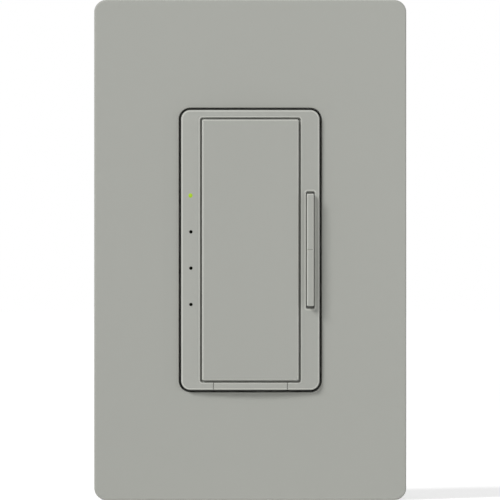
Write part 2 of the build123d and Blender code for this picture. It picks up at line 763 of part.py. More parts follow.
# Speed rocker: thin bar on a wider base that turns on two short pins
rocker_front = crown_depth(rocker_centre) + rocker_proud
base_back = rocker_axis_depth - rocker_base_tall / 2
with BuildPart() as speed_rocker:
    with BuildSketch(front(base_back)):
        with Locations((rocker_centre, 0)):
            RectangleRounded(rocker_width, rocker_length, rocker_corner_radius)
    extrude(amount=rocker_front - base_back)
    chamfer(speed_rocker.faces().sort_by(Axis.Y)[0].edges(), rocker_edge_chamfer)
    # Shallow groove across the middle
    with BuildSketch(Plane.YZ.offset(rocker_centre)):
        with BuildLine():
            Polyline(
                (-rocker_front - overrun, -rocker_groove_width / 2),
                (-rocker_front + rocker_groove_depth, 0),
                (-rocker_front - overrun, rocker_groove_width / 2),
                close=True,
            )
        make_face()
    extrude(amount=rocker_width, both=True, mode=Mode.SUBTRACT)
    with BuildSketch(front(base_back)):
        with Locations((bay_centre, 0)):
            Rectangle(bay_width - 2 * rocker_base_clearance, rocker_base_length)
    extrude(amount=rocker_base_tall)
    with BuildSketch(Plane.YZ.offset(hole_width / 2 + pin_clearance)):
        with Locations((-rocker_axis_depth, 0)):
            Circle(rocker_pin_radius)
    extrude(amount=bay_outer + bezel_wall / 2 - hole_width / 2 - 2 * pin_clearance)
    dome_top = -control_board_front + keypad_base_thickness + dome_tall
    with BuildSketch(front(dome_top + dome_clearance)):
        with Locations((bay_centre, -rocker_post_height), (bay_centre, rocker_post_height)):
            Rectangle(2 * rocker_post_half_width, 2 * rocker_post_half_width)
    extrude(amount=base_back - dome_top - dome_clearance)
finish(speed_rocker, "speed_rocker")

# Light guide: a clear rail on two pegs, with a front post and a rear stem for each light
with BuildPart() as light_guide:
    rail_back = bay_ceiling - light_rail_thickness
    with BuildSketch(front(rail_back)):
        with Locations((-bay_centre, 0)):
            rail_length = 2 * (light_heights[-1] + light_rail_end)
            Rectangle(bay_width - 2 * light_rail_clearance, rail_length)
        for height in peg_heights:
            with Locations((-bay_centre, height)):
                peg_hole_width = light_peg_width + 2 * pin_clearance
                Rectangle(peg_hole_width, peg_hole_width, mode=Mode.SUBTRACT)
    extrude(amount=light_rail_thickness)
    with BuildSketch(front(bay_ceiling)):
        for height in light_heights:
            with Locations((-bay_centre, height)):
                Circle(light_post_radius)
    extrude(amount=crown_depth(bay_centre) - light_post_recess - bay_ceiling)
    with BuildSketch(front(rail_back)):
        for height in light_heights:
            with Locations((-bay_centre, height)):
                Rectangle(light_stem_width, light_stem_width)
    extrude(amount=-(rail_back + control_board_front - led_tall - light_rail_clearance))
finish(light_guide, "light_guide")

# Service tab: the middle of the bezel's lower band, with a stem to the contact
with BuildPart() as service_tab:
    with BuildSketch(Plane.XY.offset(-bezel_height / 2)):
        with BuildLine():
            ThreePointArc(
                (-tab_width / 2, -crown_depth(tab_width / 2)),
                (0, -crown_depth(0)),
                (tab_width / 2, -crown_depth(tab_width / 2)),
            )
            Polyline(
                (tab_width / 2, -crown_depth(tab_width / 2)),
                (tab_width / 2, -yoke_thickness),
                (-tab_width / 2, -yoke_thickness),
                (-tab_width / 2, -crown_depth(tab_width / 2)),
            )
        make_face()
    extrude(amount=band_height)
    tab_edges = service_tab.faces().sort_by(Axis.Y)[0].edges().sort_by(Axis.Z)
    chamfer((tab_edges[0], tab_edges[-1]), bezel_edge_chamfer)
    with BuildSketch(front(yoke_thickness)):
        with Locations((0, band_middle)):
            Rectangle(tab_width + 2 * tab_rib_reach, tab_rib_thickness)
    extrude(amount=tab_rib_length)
    # Nick along the lower side for a fingernail
    with BuildSketch(Plane.YZ):
        with Locations((tab_nick_drop - bezel_edge_depth, -bezel_height / 2)):
            Rectangle(tab_nick_width, 2 * tab_nick_depth)
    extrude(amount=tab_stem_width / 2, both=True, mode=Mode.SUBTRACT)
    with BuildSketch(front(yoke_thickness)):
        with Locations((0, tab_stem_height)):
            Rectangle(tab_stem_width, tab_stem_thickness)
    extrude(amount=-tab_stem_reach - yoke_thickness)
finish(service_tab, "service_tab")

# Insulating sheet between the yoke and the boards
with BuildPart() as switch_insulator:
    with BuildSketch(front(0)):
        Rectangle(housing_inner_width - insulator_gap, housing_inner_height - insulator_gap)
        with GridLocations(2 * board_notch_x, 2 * board_notch_z, 2, 2):
            Rectangle(board_notch, board_notch, mode=Mode.SUBTRACT)
        with Locations((0, switch_height)):
            post_window = 2 * (post_half_width + insulator_gap)
            Rectangle(post_window, post_window, mode=Mode.SUBTRACT)
        with Locations((-bay_centre, 0)):
            stem_window = light_stem_width + 2 * insulator_gap
            Rectangle(stem_window, 2 * light_heights[-1] + stem_window, mode=Mode.SUBTRACT)
        with GridLocations(2 * bay_centre, 2 * rocker_post_height, 1, 2):
            with Locations((bay_centre, 0)):
                dome_window = 2 * (dome_base_half_width + insulator_gap)
                Rectangle(dome_window, dome_window, mode=Mode.SUBTRACT)
        with Locations((0, tab_stem_height)):
            stem_room = tab_stem_width + insulator_gap
            Rectangle(stem_room, tab_stem_thickness + insulator_gap, mode=Mode.SUBTRACT)
        with GridLocations(bezel_width - bezel_wall + hook_catch, 2 * hook_height, 2, 2):
            hook_room = bezel_wall + hook_catch + 2 * insulator_gap
            Rectangle(hook_room, hook_width + 2 * insulator_gap, mode=Mode.SUBTRACT)
    extrude(amount=-insulator_thickness)
finish(switch_insulator, "switch_insulator")

# Control board, with notches round the housing's bosses
with BuildPart() as control_board:
    with BuildSketch(front(-control_board_front)):
        Rectangle(board_width, board_height)
        with GridLocations(2 * board_notch_x, 2 * board_notch_z, 2, 2):
            Rectangle(board_notch, board_notch, mode=Mode.SUBTRACT)
    extrude(amount=-board_thickness)
finish(control_board, "control_board")

# Paddle switch: square body with a bore, and the plunger that slides in it
switch_top = -control_board_front + switch_body_tall
plunger_bottom = switch_top - plunger_engaged
plunger_travel = (hinge_height - switch_height) * sin(radians(paddle_tilt))
bore_bottom = plunger_bottom - plunger_travel - plunger_spare
with BuildPart() as paddle_switch_body:
    with BuildSketch(front(-control_board_front)):
        with Locations((0, switch_height)):
            RectangleRounded(switch_width, switch_width, switch_width / 12)
    extrude(amount=switch_body_tall)
    with BuildSketch(front(bore_bottom)):
        with Locations((0, switch_height)):
            bore_width = 2 * (plunger_half_width + pin_clearance)
            Rectangle(bore_width, bore_width)
    extrude(amount=switch_top - bore_bottom, mode=Mode.SUBTRACT)
finish(paddle_switch_body, "paddle_switch_body")

with BuildPart() as paddle_switch_plunger:
    with BuildSketch(front(plunger_bottom)):
        with Locations((0, switch_height)):
            Rectangle(2 * plunger_half_width, 2 * plunger_half_width)
    extrude(amount=plunger_face - plunger_bottom)
finish(paddle_switch_plunger, "paddle_switch_plunger")

# Raise and lower keypad: a rubber strip with two tapered keys
with BuildPart() as raise_lower_keypad:
    with BuildSketch(front(-control_board_front)):
        with Locations((bay_centre, 0)):
            Rectangle(keypad_base_width, 2 * (rocker_post_height + keypad_end))
    extrude(amount=keypad_base_thickness)
    for height in (-rocker_post_height, rocker_post_height):
        with BuildSketch(front(-control_board_front + keypad_base_thickness)):
            with Locations((bay_centre, height)):
                Rectangle(2 * dome_base_half_width, 2 * dome_base_half_width)
        with BuildSketch(front(dome_top)):
            with Locations((bay_centre, height)):
                Rectangle(2 * dome_top_half_width, 2 * dome_top_half_width)
        loft()
finish(raise_lower_keypad, "raise_lower_keypad")

# Speed indicator lights, one under each stem of the light guide
for index, height in enumerate(reversed(light_heights)):
    with BuildPart() as indicator_led:
        with BuildSketch(front(-control_board_front)):
            with Locations((-bay_centre, height)):
                Rectangle(led_short, led_long)
        extrude(amount=led_tall)
    finish(indicator_led, f"indicator_led_{index + 1}")

# Microcontroller on the control board: a flat body on a fringe of legs
with BuildPart() as microcontroller:
    with BuildSketch(front(-control_board_front)):
        with Locations((0, chip_height)):
            Rectangle(chip_width + 2 * chip_leg, chip_width - 2 * chip_leg)
            Rectangle(chip_width - 2 * chip_leg, chip_width + 2 * chip_leg)
    extrude(amount=chip_tall / 4)
    with BuildSketch(front(-control_board_front + chip_tall / 4)):
        with Locations((0, chip_height)):
            Rectangle(chip_width, chip_width)
    extrude(amount=chip_tall)
finish(microcontroller, "microcontroller")

# Header that joins the two boards
with BuildPart() as board_header:
    with BuildSketch(front(-power_board_front)):
        with Locations((header_x, header_z)):
            Rectangle(header_width, header_height)
    extrude(amount=header_block)
    with BuildSketch(front(-power_board_front)):
        with Locations((header_x, header_z)):
            with GridLocations(0, header_spacing, 1, header_pins):
                Rectangle(header_pin_width, header_pin_width)
    extrude(amount=power_board_front - control_board_back)
    with BuildSketch(front(-control_board_back)):
        with Locations((header_x, header_z)):
            Rectangle(header_width, header_height)
    extrude(amount=-header_block / 2)
finish(board_header, "board_header")

# Power board, with notches round the housing's bosses
with BuildPart() as power_board:
    with BuildSketch(front(-power_board_front)):
        Rectangle(board_width, board_height)
        with GridLocations(2 * board_notch_x, 2 * board_notch_z, 2, 2):
            Rectangle(board_notch, board_notch, mode=Mode.SUBTRACT)
    extrude(amount=-board_thickness)
finish(power_board, "power_board")

# Box-shaped parts that stand on the power board: x, z, width, height, tall
standing_parts = {
    "speed_relay_1": (column_a, relay_1_z, relay_width, relay_height, relay_tall),
    "speed_relay_2": (column_b, relay_2_z, relay_width, relay_height, relay_tall),
    "speed_relay_3": (column_a, relay_3_z, relay_width, relay_height, relay_tall),
    "fan_capacitor_1": (column_c, capacitor_1_z, capacitor_width, capacitor_height, capacitor_tall),
    "fan_capacitor_2": (column_b, capacitor_2_z, capacitor_width, capacitor_height, capacitor_tall),
}
for name, (x, z, width, height, tall) in standing_parts.items():
    with BuildPart() as standing_part:
        with BuildSketch(front(-power_board_front)):
            with Locations((x, z)):
                Rectangle(width, height)
        extrude(amount=tall)
        chamfer(standing_part.faces().sort_by(Axis.Y)[0].edges(), part_chamfer)
    finish(standing_part, name)

# Supply capacitor: an upright can
with BuildPart() as supply_capacitor:
    with BuildSketch(front(-power_board_front)):
        with Locations((can_x, end_parts_z)):
            Circle(can_radius)
    extrude(amount=can_tall)
    chamfer(supply_capacitor.faces().sort_by(Axis.Y)[0].edges(), can_chamfer)
finish(supply_capacitor, "supply_capacitor")

# Varistor: an upright disc on two legs
with BuildPart() as varistor:
    disc_depth = -power_board_front + varistor_rise + varistor_radius
    with BuildSketch(Plane.XY.offset(end_parts_z)):
        with Locations((varistor_x, -disc_depth)):
            Circle(varistor_radius)
    extrude(amount=varistor_thickness / 2, both=True)
    with BuildSketch(front(-power_board_front)):
        with GridLocations(varistor_lead_spacing, 0, 2, 1):
            with Locations((varistor_x, end_parts_z)):
                Rectangle(lead_width, lead_width)
    extrude(amount=varistor_radius)
finish(varistor, "varistor")

# Fusible resistor: a round body lying above the board on bent leads
with BuildPart() as fusible_resistor:
    resistor_depth = -power_board_front + resistor_rise + resistor_radius
    with BuildSketch(Plane.YZ.offset(column_b)):
        with Locations((-resistor_depth, resistor_z)):
            Circle(resistor_radius)
    extrude(amount=resistor_length / 2, both=True)
    with BuildSketch(Plane.YZ.offset(column_b)):
        with Locations((-resistor_depth, resistor_z)):
            Rectangle(lead_width, lead_width)
    extrude(amount=resistor_length / 2 + lead_reach, both=True)
    with BuildSketch(front(-power_board_front)):
        with GridLocations(resistor_length + 2 * lead_reach - lead_width, 0, 2, 1):
            with Locations((column_b, resistor_z)):
                Rectangle(lead_width, lead_width)
    extrude(amount=resistor_depth + power_board_front)
finish(fusible_resistor, "fusible_resistor")

# Choke: a drum core with a winding between its flanges
core_flange_tall = (core_tall - winding_tall) / 2
with BuildPart() as choke_core:
    for start, radius, length in (
        (0, core_outer, core_flange_tall),
        (core_flange_tall, core_inner, winding_tall),
        (core_flange_tall + winding_tall, core_outer, core_flange_tall),
    ):
        with BuildSketch(front(-power_board_front + start)):
            with Locations((choke_x, choke_z)):
                Circle(radius)
        extrude(amount=length)
finish(choke_core, "choke_core")

with BuildPart() as choke_winding:
    with BuildSketch(front(-power_board_front + core_flange_tall)):
        with Locations((choke_x, choke_z)):
            Circle(core_outer - winding_inset)
            Circle(core_inner, mode=Mode.SUBTRACT)
    extrude(amount=winding_tall)
finish(choke_winding, "choke_winding")

# Air-gap contacts: the tab's stem holds the leaf down on the fixed contact
leaf_depth = -tab_stem_reach - leaf_clearance - leaf_thickness / 2
contact_height = leaf_foot_height - contact_from_foot
with BuildPart() as airgap_contact_spring:
    with BuildSketch(Plane.YZ):
        with BuildLine():
            FilletPolyline(
                (power_board_front, leaf_foot_height),
                (-leaf_depth, leaf_foot_height),
                (-leaf_depth, tab_stem_height - tab_stem_thickness / 2),
                radius=leaf_bend,
            )
        trace(line_width=leaf_thickness)
    extrude(amount=leaf_width / 2, both=True)
    with BuildSketch(front(-power_board_front)):
        with Locations((0, leaf_foot_height)):
            Rectangle(2 * leaf_width, 2 * leaf_width)
    extrude(amount=-2 * leaf_thickness, mode=Mode.SUBTRACT)
    with BuildSketch(front(leaf_depth)):
        with Locations((0, contact_height)):
            Circle(contact_radius)
    extrude(amount=-leaf_thickness / 2 - contact_tall)
finish(airgap_contact_spring, "airgap_contact_spring")

with BuildPart() as airgap_contact_fixed:
    fixed_face = leaf_depth - leaf_thickness / 2 - contact_tall
    with BuildSketch(Plane.YZ):
        with BuildLine():
            FilletPolyline(
                (power_board_front - leaf_thickness, contact_height - fixed_foot),
                (power_board_front - leaf_thickness, contact_height + fixed_reach),
                (-fixed_face + 2 * leaf_thickness, contact_height + fixed_reach),
                (-fixed_face + 2 * leaf_thickness, contact_height - fixed_reach),
                radius=2 * leaf_thickness,
            )
        trace(line_width=2 * leaf_thickness)
    extrude(amount=leaf_width / 3, both=True)
    with BuildSketch(front(fixed_face)):
        with Locations((0, contact_height)):
            Circle(contact_radius)
    extrude(amount=-leaf_thickness)
finish(airgap_contact_fixed, "airgap_contact_fixed")

# Terminals: a plate with a tail to the power board, a clamp and a screw
plate_face = pocket_floor + terminal_plate_thickness
clamp_back = plate_face + clamp_gap
clamp_face = clamp_back + clamp_thickness
terminal_hole_width = 2 * (terminal_shank_radius + screw_clearance)
for name, direction, height in terminal_sides:
    with BuildPart() as terminal_plate:
        with BuildSketch(side(direction, pocket_floor, -pocket_centre, height)):
            Rectangle(pocket_span - 2 * terminal_plate_gap, pocket_tall - 2 * terminal_plate_gap)
            tail_length = power_board_front - pocket_centre
            with Locations((tail_length / 2, 0)):
                Rectangle(tail_length, terminal_tail_width)
            Rectangle(terminal_hole_width, terminal_hole_width, mode=Mode.SUBTRACT)
        extrude(amount=terminal_plate_thickness)
    finish(terminal_plate, f"{name}_terminal_plate")
    with BuildPart() as terminal_clamp:
        with BuildSketch(side(direction, clamp_back, -pocket_centre, height)):
            Rectangle(clamp_width, clamp_width)
            Rectangle(terminal_hole_width, terminal_hole_width, mode=Mode.SUBTRACT)
        extrude(amount=clamp_thickness)
        with BuildSketch(side(direction, clamp_back, -pocket_centre, height)):
            with GridLocations(clamp_width - clamp_ridge, 0, 2, 1):
                Rectangle(clamp_ridge, clamp_width)
        extrude(amount=-clamp_gap / 4)
    finish(terminal_clamp, f"{name}_terminal_clamp")
    screw_length = clamp_face - pocket_floor + terminal_tip
    terminal_screw = slotted_screw(
        side(direction, clamp_face, -pocket_centre, height),
        terminal_head_radius,
        terminal_head_tall,
        [(terminal_shank_radius, screw_length)],
    )
    finish(terminal_screw, f"{name}_terminal_screw")

# Rear housing: a deep tray with corner bosses, board stands and terminal pockets
with BuildPart() as rear_housing:
    with BuildSketch(front(0)):
        RectangleRounded(housing_width, housing_height, housing_corner_radius)
    extrude(amount=-housing_depth)
    chamfer(rear_housing.faces().sort_by(Axis.Y)[-1].edges(), housing_rear_chamfer)
    housing_floor = housing_depth - housing_wall
    with BuildSketch(front(0)):
        Rectangle(housing_inner_width, housing_inner_height)
    extrude(amount=-housing_floor, mode=Mode.SUBTRACT)
    # Corner bosses
    with BuildSketch(front(0)):
        with GridLocations(2 * boss_x, 2 * boss_z, 2, 2):
            Rectangle(2 * boss_radius, 2 * boss_radius)
    extrude(amount=-housing_floor - housing_wall / 4)
    # Walls round the terminal pockets
    block_width = pocket_reach + pocket_wall
    for name, direction, height in terminal_sides:
        with BuildSketch(front(-control_board_back)):
            with Locations((direction * (housing_width / 2 - block_width / 2), height)):
                Rectangle(block_width, pocket_tall + 2 * pocket_wall)
        extrude(amount=-pocket_span - 2 * pocket_wall)
    # Ledge for the control board on the side that has no upper pocket
    with BuildSketch(front(-control_board_back)):
        with Locations((housing_width / 2 - housing_wall - board_gap, terminal_height)):
            Rectangle(4 * board_gap, pocket_tall)
    extrude(amount=-housing_wall)
    # Stands under the power board
    with BuildSketch(front(-power_board_back)):
        with GridLocations(board_width / 2, 2 * board_height / 3, 2, 2):
            Rectangle(standoff_width, standoff_width)
    extrude(amount=-(housing_floor - power_board_back) - housing_wall / 4)
    # Pockets, the slots for the plates' tails and room for the screws' tips
    for name, direction, height in terminal_sides:
        with BuildSketch(side(direction, pocket_floor, -pocket_centre, height)):
            Rectangle(pocket_span, pocket_tall)
        extrude(amount=pocket_reach + overrun, mode=Mode.SUBTRACT)
        with BuildSketch(side(direction, pocket_floor, -pocket_centre, height)):
            with Locations((pocket_span / 2 + pocket_wall / 2, 0)):
                Rectangle(2 * pocket_wall, terminal_tail_width + 2 * terminal_tail_gap)
        extrude(amount=terminal_plate_thickness + terminal_tail_gap, mode=Mode.SUBTRACT)
        with BuildSketch(side(direction, pocket_floor, -pocket_centre, height)):
            Rectangle(terminal_hole_width, terminal_hole_width)
        extrude(amount=-pocket_wall - overrun, mode=Mode.SUBTRACT)
    # Screw holes in the bosses
    with BuildSketch(front(0)):
        with GridLocations(2 * boss_x, 2 * boss_z, 2, 2):
            boss_hole_width = 2 * (housing_shank_radius + screw_clearance)
            Rectangle(boss_hole_width, boss_hole_width)
    extrude(amount=-housing_screw_length - housing_screw_room, mode=Mode.SUBTRACT)
    # Groove on the rear that shows how much of a wire to strip
    with BuildSketch(front(-housing_depth)):
        with Locations((0, -housing_height / 4)):
            SlotOverall(strip_gauge_length, strip_gauge_width)
    extrude(amount=strip_gauge_depth, mode=Mode.SUBTRACT)
finish(rear_housing, "rear_housing")

# Countersunk screws from the yoke into the housing's bosses
corners = [(x, z) for z in (boss_z, -boss_z) for x in (-boss_x, boss_x)]
for index, (x, z) in enumerate(corners):
    with BuildPart() as housing_screw:
        with BuildSketch(front(yoke_thickness - screw_clearance)):
            with Locations((x, z)):
                Circle(housing_head_radius)
        extrude(amount=-countersink_drop, taper=45)
        with BuildSketch(front(yoke_thickness - screw_clearance - countersink_drop)):
            with Locations((x, z)):
                Circle(housing_shank_radius)
        extrude(amount=countersink_drop - housing_screw_length)
        with BuildSketch(front(yoke_thickness)):
            with Locations((x, z)):
                Rectangle(2 * housing_head_radius, slot_width)
        extrude(amount=-countersink_drop / 2, mode=Mode.SUBTRACT)
    finish(housing_screw, f"housing_screw_{index + 1}")
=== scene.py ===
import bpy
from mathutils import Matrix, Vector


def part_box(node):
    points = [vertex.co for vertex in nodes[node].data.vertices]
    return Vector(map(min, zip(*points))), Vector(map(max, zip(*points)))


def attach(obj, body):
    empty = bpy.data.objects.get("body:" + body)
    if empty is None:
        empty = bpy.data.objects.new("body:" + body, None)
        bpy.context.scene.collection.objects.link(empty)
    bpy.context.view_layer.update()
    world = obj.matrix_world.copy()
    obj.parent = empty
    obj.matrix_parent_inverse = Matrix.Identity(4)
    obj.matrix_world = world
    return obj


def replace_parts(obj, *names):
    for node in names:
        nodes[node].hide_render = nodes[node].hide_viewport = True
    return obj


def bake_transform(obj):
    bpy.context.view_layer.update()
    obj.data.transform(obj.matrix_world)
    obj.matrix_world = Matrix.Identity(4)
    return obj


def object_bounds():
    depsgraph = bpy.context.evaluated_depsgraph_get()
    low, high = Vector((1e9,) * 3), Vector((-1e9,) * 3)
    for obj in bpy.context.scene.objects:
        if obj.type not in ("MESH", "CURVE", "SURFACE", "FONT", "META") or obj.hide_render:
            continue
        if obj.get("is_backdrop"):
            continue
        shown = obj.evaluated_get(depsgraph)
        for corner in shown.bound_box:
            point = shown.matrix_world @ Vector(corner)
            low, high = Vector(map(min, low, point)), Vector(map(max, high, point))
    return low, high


bl_info = {
    "name": "Fan Speed Control Switch",
    "version": (1, 0, 0),
    "blender": (4, 5, 0),
    "location": "View3D > Sidebar > Fan Switch",
    "description": "Finishes, fine details and studio of a wall-mounted fan speed control",
    "category": "Object",
}

from math import cos, pi, radians, sin

import bmesh
import bpy
from bpy.props import FloatProperty, FloatVectorProperty, PointerProperty
from mathutils import Matrix, Vector

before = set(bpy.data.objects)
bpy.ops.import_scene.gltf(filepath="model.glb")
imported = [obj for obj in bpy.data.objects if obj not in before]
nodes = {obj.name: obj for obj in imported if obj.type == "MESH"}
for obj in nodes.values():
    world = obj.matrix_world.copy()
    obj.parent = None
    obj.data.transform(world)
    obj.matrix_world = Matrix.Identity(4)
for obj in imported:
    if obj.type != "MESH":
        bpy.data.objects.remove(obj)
cad_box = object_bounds()

MM = 0.001

# The photograph's frame, and where the camera looks beside the plate's middle
PHOTO_SIDE_PX = 500
PHOTO_PX_PER_MM = 4.19
SENSOR_MM = 36.0
CAMERA_REACH = 20.0
AIM_X = -0.07 * MM

# Lights: size of each square, and its place from the middle of the front
SOFTBOX_SIZE = 0.9
SOFTBOX_PLACE = Vector((-1.8, -1.8, 1.85))
BOUNCE_SIZE = 0.3
BOUNCE_PLACE = Vector((0.42, -0.22, 0.0))

# Floor: its glow grows with the distance, so that it stays white where the softbox reaches less
WHITE = (1.0, 1.0, 1.0, 1.0)
FLOOR_HALF_SIDE = 6.0
FLOOR_PAINT = (0.8, 0.8, 0.8, 1.0)
FLOOR_GLOW = {"From Min": 0.5, "From Max": 3.0, "To Min": 0.6, "To Max": 0.78}

# Nodes of the speed indicators from the top, the lit one first, and each lens's share of
# the indicator radius and its flatness
LIGHT_NODES = ["indicator_led_1", "indicator_led_2", "indicator_led_3", "indicator_led_4"]
LIT_LENS = (1.5, 0.2)
UNLIT_LENS = (1.0, 0.12)
LIT_GLOW = 0.12

# Finish and material slot of each terminal
TERMINAL_METALS = {
    "line": "black_coated_steel",
    "load": "plain_brass",
    "companion": "blue_coated_steel",
}

# Screws by the first word of the node's name: radius over the thread, height of the head, and
# length of the plain shank under it
SCREWS = {
    "box": (1.75 * MM, 2.0 * MM, 2.3 * MM),
    "line": (1.75 * MM, 2.0 * MM, 0.3 * MM),
    "load": (1.75 * MM, 2.0 * MM, 0.3 * MM),
    "companion": (1.75 * MM, 2.0 * MM, 0.3 * MM),
    "ground": (2.0 * MM, 2.2 * MM, 0.2 * MM),
}

# The domed head as (share of the head's radius, drop below its top), the driver slot and the tip
HEAD_DOME = ((0.45, 0.02 * MM), (0.78, 0.32 * MM), (0.94, 0.8 * MM), (1.0, 1.4 * MM))
HEAD_STEPS = 48
DRIVER_SLOT_WIDTH = 0.9 * MM
DRIVER_SLOT_DEPTH = 0.9 * MM
TIP_LENGTH = 0.8 * MM
TIP_SHARE = 0.6
THREAD_END = 0.3 * MM

# A thread's ridge: how far its root sinks into the core, as a share of the depth, and where
# its crest starts and ends and its root comes again, as shares of the pitch
ROOT_SINK = 0.2
CREST_START = 0.42
CREST_END = 0.52
RIDGE_END = 0.94
THREAD_STEPS = 20

# Outlines of the front pieces: x of the middle, half the width, half the height, corner radius
PADDLE_OUTLINE = (0.0, 11.55 * MM, 31.15 * MM, 0.4 * MM)
HOLE_OUTLINE = (0.0, 12.03 * MM, 31.63 * MM, 0.64 * MM)
BEZEL_OUTLINE = (0.0, 16.51 * MM, 33.4 * MM, 2.2 * MM)
ROCKER_OUTLINE = (14.3 * MM, 0.85 * MM, 13.425 * MM, 0.3 * MM)
SLOT_OUTLINE = (14.3 * MM, 1.02 * MM, 14.0 * MM, 0.4 * MM)

# x of the outer wall of the seam beside the service tab
TAB_SEAM_OUTER = 8.9 * MM

# Rims painted lighter, as painted highlights along the edges: outline, where they start and end
# outwards from it, and lift
PADDLE_RIM_HIGHLIGHTS = [(PADDLE_OUTLINE, -0.38 * MM, -0.08 * MM, 0.32)]
ROCKER_RIM_HIGHLIGHTS = [(ROCKER_OUTLINE, -0.28 * MM, -0.06 * MM, 0.34)]
BEZEL_RIM_HIGHLIGHTS = [
    (BEZEL_OUTLINE, -0.4 * MM, -0.14 * MM, 0.4),
    (HOLE_OUTLINE, 0.03 * MM, 0.3 * MM, 0.26),
    # The slot's rim is painted lighter against the shade the rocker casts round it: painted light.
    (SLOT_OUTLINE, 0.03 * MM, 0.45 * MM, 0.26),
]

# Ledges in the slits, all equally thick; those beside the tab end a little short of its height
LEDGE_THICKNESS = 0.5 * MM
LEDGE_SOFT_EDGE = 0.02 * MM
PADDLE_LEDGE_WIDTH = 0.37 * MM
SLOT_LEDGE_REACH = 0.36 * MM
TAB_LEDGE_WIDTH = 0.1 * MM
TAB_LEDGE_FRONT = 9.17 * MM
TAB_LEDGE_SHORT = 0.1 * MM

# Heights between which the leaf spring bends, in so many steps
SPRING_BEND = (-19.0 * MM, -10.0 * MM)
SPRING_STEPS = 18

# Usual grain of a moulded plastic: noise scale, bump strength, and how far its tone wanders
GRAIN_SCALE = 5200.0
GRAIN_STRENGTH = 0.12
TONE_SPREAD = 0.012

# Points nearer than this are one when a mesh is joined or cut
MERGE_DISTANCE = 1e-7
CUT_DISTANCE = 1e-8


# Sizes and colours that a user would change


def colour_setting(name, description, default):
    """A colour in the panel."""
    return FloatVectorProperty(
        name=name,
        description=description,
        subtype="COLOR",
        size=3,
        default=default,
        min=0.0,
        max=1.0,
    )


def length_setting(name, description, default, **limits):
    """A length in the panel."""
    return FloatProperty(
        name=name,
        description=description,
        subtype="DISTANCE",
        unit="LENGTH",
        default=default,
        **limits,
    )


class FanSwitchColours(bpy.types.PropertyGroup):
    """Colours of the plastics and the indicators"""

    plate: colour_setting(
        "Plate",
        "Colour of the screwless cover and its adapter",
        (0.386, 0.392, 0.361),
    )
    # The bezel's grey is set a little lighter than the paddle's, a painted lift that stands in for
    # the light its crowned side bands catch.
    bezel: colour_setting(
        "Bezel",
        "Colour of the bezel and its service tab",
        (0.391, 0.397, 0.366),
    )
    controls: colour_setting(
        "Controls",
        "Colour of the paddle and the rocker",
        (0.386, 0.392, 0.361),
    )
    housing: colour_setting(
        "Housing",
        "Colour of the rear housing",
        (0.018, 0.018, 0.019),
    )
    lit: colour_setting(
        "Lit indicator",
        "Colour of the speed indicator that is on",
        (0.35, 0.54, 0.028),
    )
    unlit: colour_setting(
        "Unlit indicator",
        "Colour of the speed indicators that are off",
        (0.002, 0.002, 0.001),
    )


class FanSwitchSizes(bpy.types.PropertyGroup):
    """Sizes of the fine details"""

    thread_pitch: length_setting(
        "Thread pitch",
        "Distance from one turn of a screw's thread to the next",
        0.794 * MM,
        min=0.3 * MM,
    )
    thread_depth: length_setting(
        "Thread depth",
        "How far the thread stands out of the screw's core",
        0.42 * MM,
        min=0.05 * MM,
    )
    ledge_depth: length_setting(
        "Ledge depth",
        "Height over the wall of the ledge that closes the slit round the paddle",
        8.5 * MM,
        min=7.4 * MM,
        max=8.8 * MM,
    )
    lens_radius: length_setting(
        "Indicator radius",
        "Radius of an unlit indicator's dark window",
        0.40 * MM,
        min=0.1 * MM,
    )


class FanSwitchStudio(bpy.types.PropertyGroup):
    """Camera and lights"""

    focal_length: FloatProperty(
        name="Focal length",
        description="Focal length of the camera's long lens",
        unit="CAMERA",
        default=600.0,
        min=50.0,
    )
    turn: FloatProperty(
        name="Turn",
        description="How far to the left of straight in front the camera stands, in degrees",
        default=0.7,
    )
    key_power: FloatProperty(
        name="Key light",
        description="Power of the large softbox at the upper left",
        subtype="POWER",
        default=71.5,
        min=0.0,
    )
    bounce_power: FloatProperty(
        name="Bounce",
        description="Power of the small reflector on the right",
        subtype="POWER",
        default=0.56,
        min=0.0,
    )
    fill: FloatProperty(
        name="Fill",
        description="Strength of the even light from all round",
        default=0.28,
        min=0.0,
    )


# Shader helpers


def new_group(name, inputs, outputs):
    """A shader node group with the given sockets, each (name, type, default)."""
    group = bpy.data.node_groups.new(name, "ShaderNodeTree")
    for direction, sockets in (("INPUT", inputs), ("OUTPUT", outputs)):
        for label, kind, default in sockets:
            socket = group.interface.new_socket(name=label, in_out=direction, socket_type=kind)
            if default is not None:
                socket.default_value = default
    return group, group.nodes.new("NodeGroupInput"), group.nodes.new("NodeGroupOutput")


def set_or_link(tree, socket, value):
    """Give an input a plain number, or link it to another socket."""
    if isinstance(value, bpy.types.NodeSocket):
        tree.links.new(value, socket)
    else:
        socket.default_value = value


def math_node(tree, operation, first, second):
    """A Math node whose two inputs are sockets or plain numbers."""
    node = tree.nodes.new("ShaderNodeMath")
    node.operation = operation
    set_or_link(tree, node.inputs[0], first)
    set_or_link(tree, node.inputs[1], second)
    return node.outputs[0]


def noise(tree, vector, scale, detail=2.0, roughness=0.5):
    """A Noise Texture's value; the scale is a socket or a number."""
    node = tree.nodes.new("ShaderNodeTexNoise")
    node.inputs["Detail"].default_value = detail
    node.inputs["Roughness"].default_value = roughness
    tree.links.new(vector, node.inputs["Vector"])
    set_or_link(tree, node.inputs["Scale"], scale)
    return node.outputs["Fac"]


def swing(tree, value, amount):
    """A noise's value turned into a change of up to half the amount, up or down."""
    return math_node(tree, "MULTIPLY", math_node(tree, "SUBTRACT", value, 0.5), amount)


def tinted(tree, colour, shade):
    """A colour made lighter or darker by a factor near 1."""
    node = tree.nodes.new("ShaderNodeVectorMath")
    node.operation = "SCALE"
    tree.links.new(colour, node.inputs[0])
    tree.links.new(shade, node.inputs["Scale"])
    return node.outputs[0]


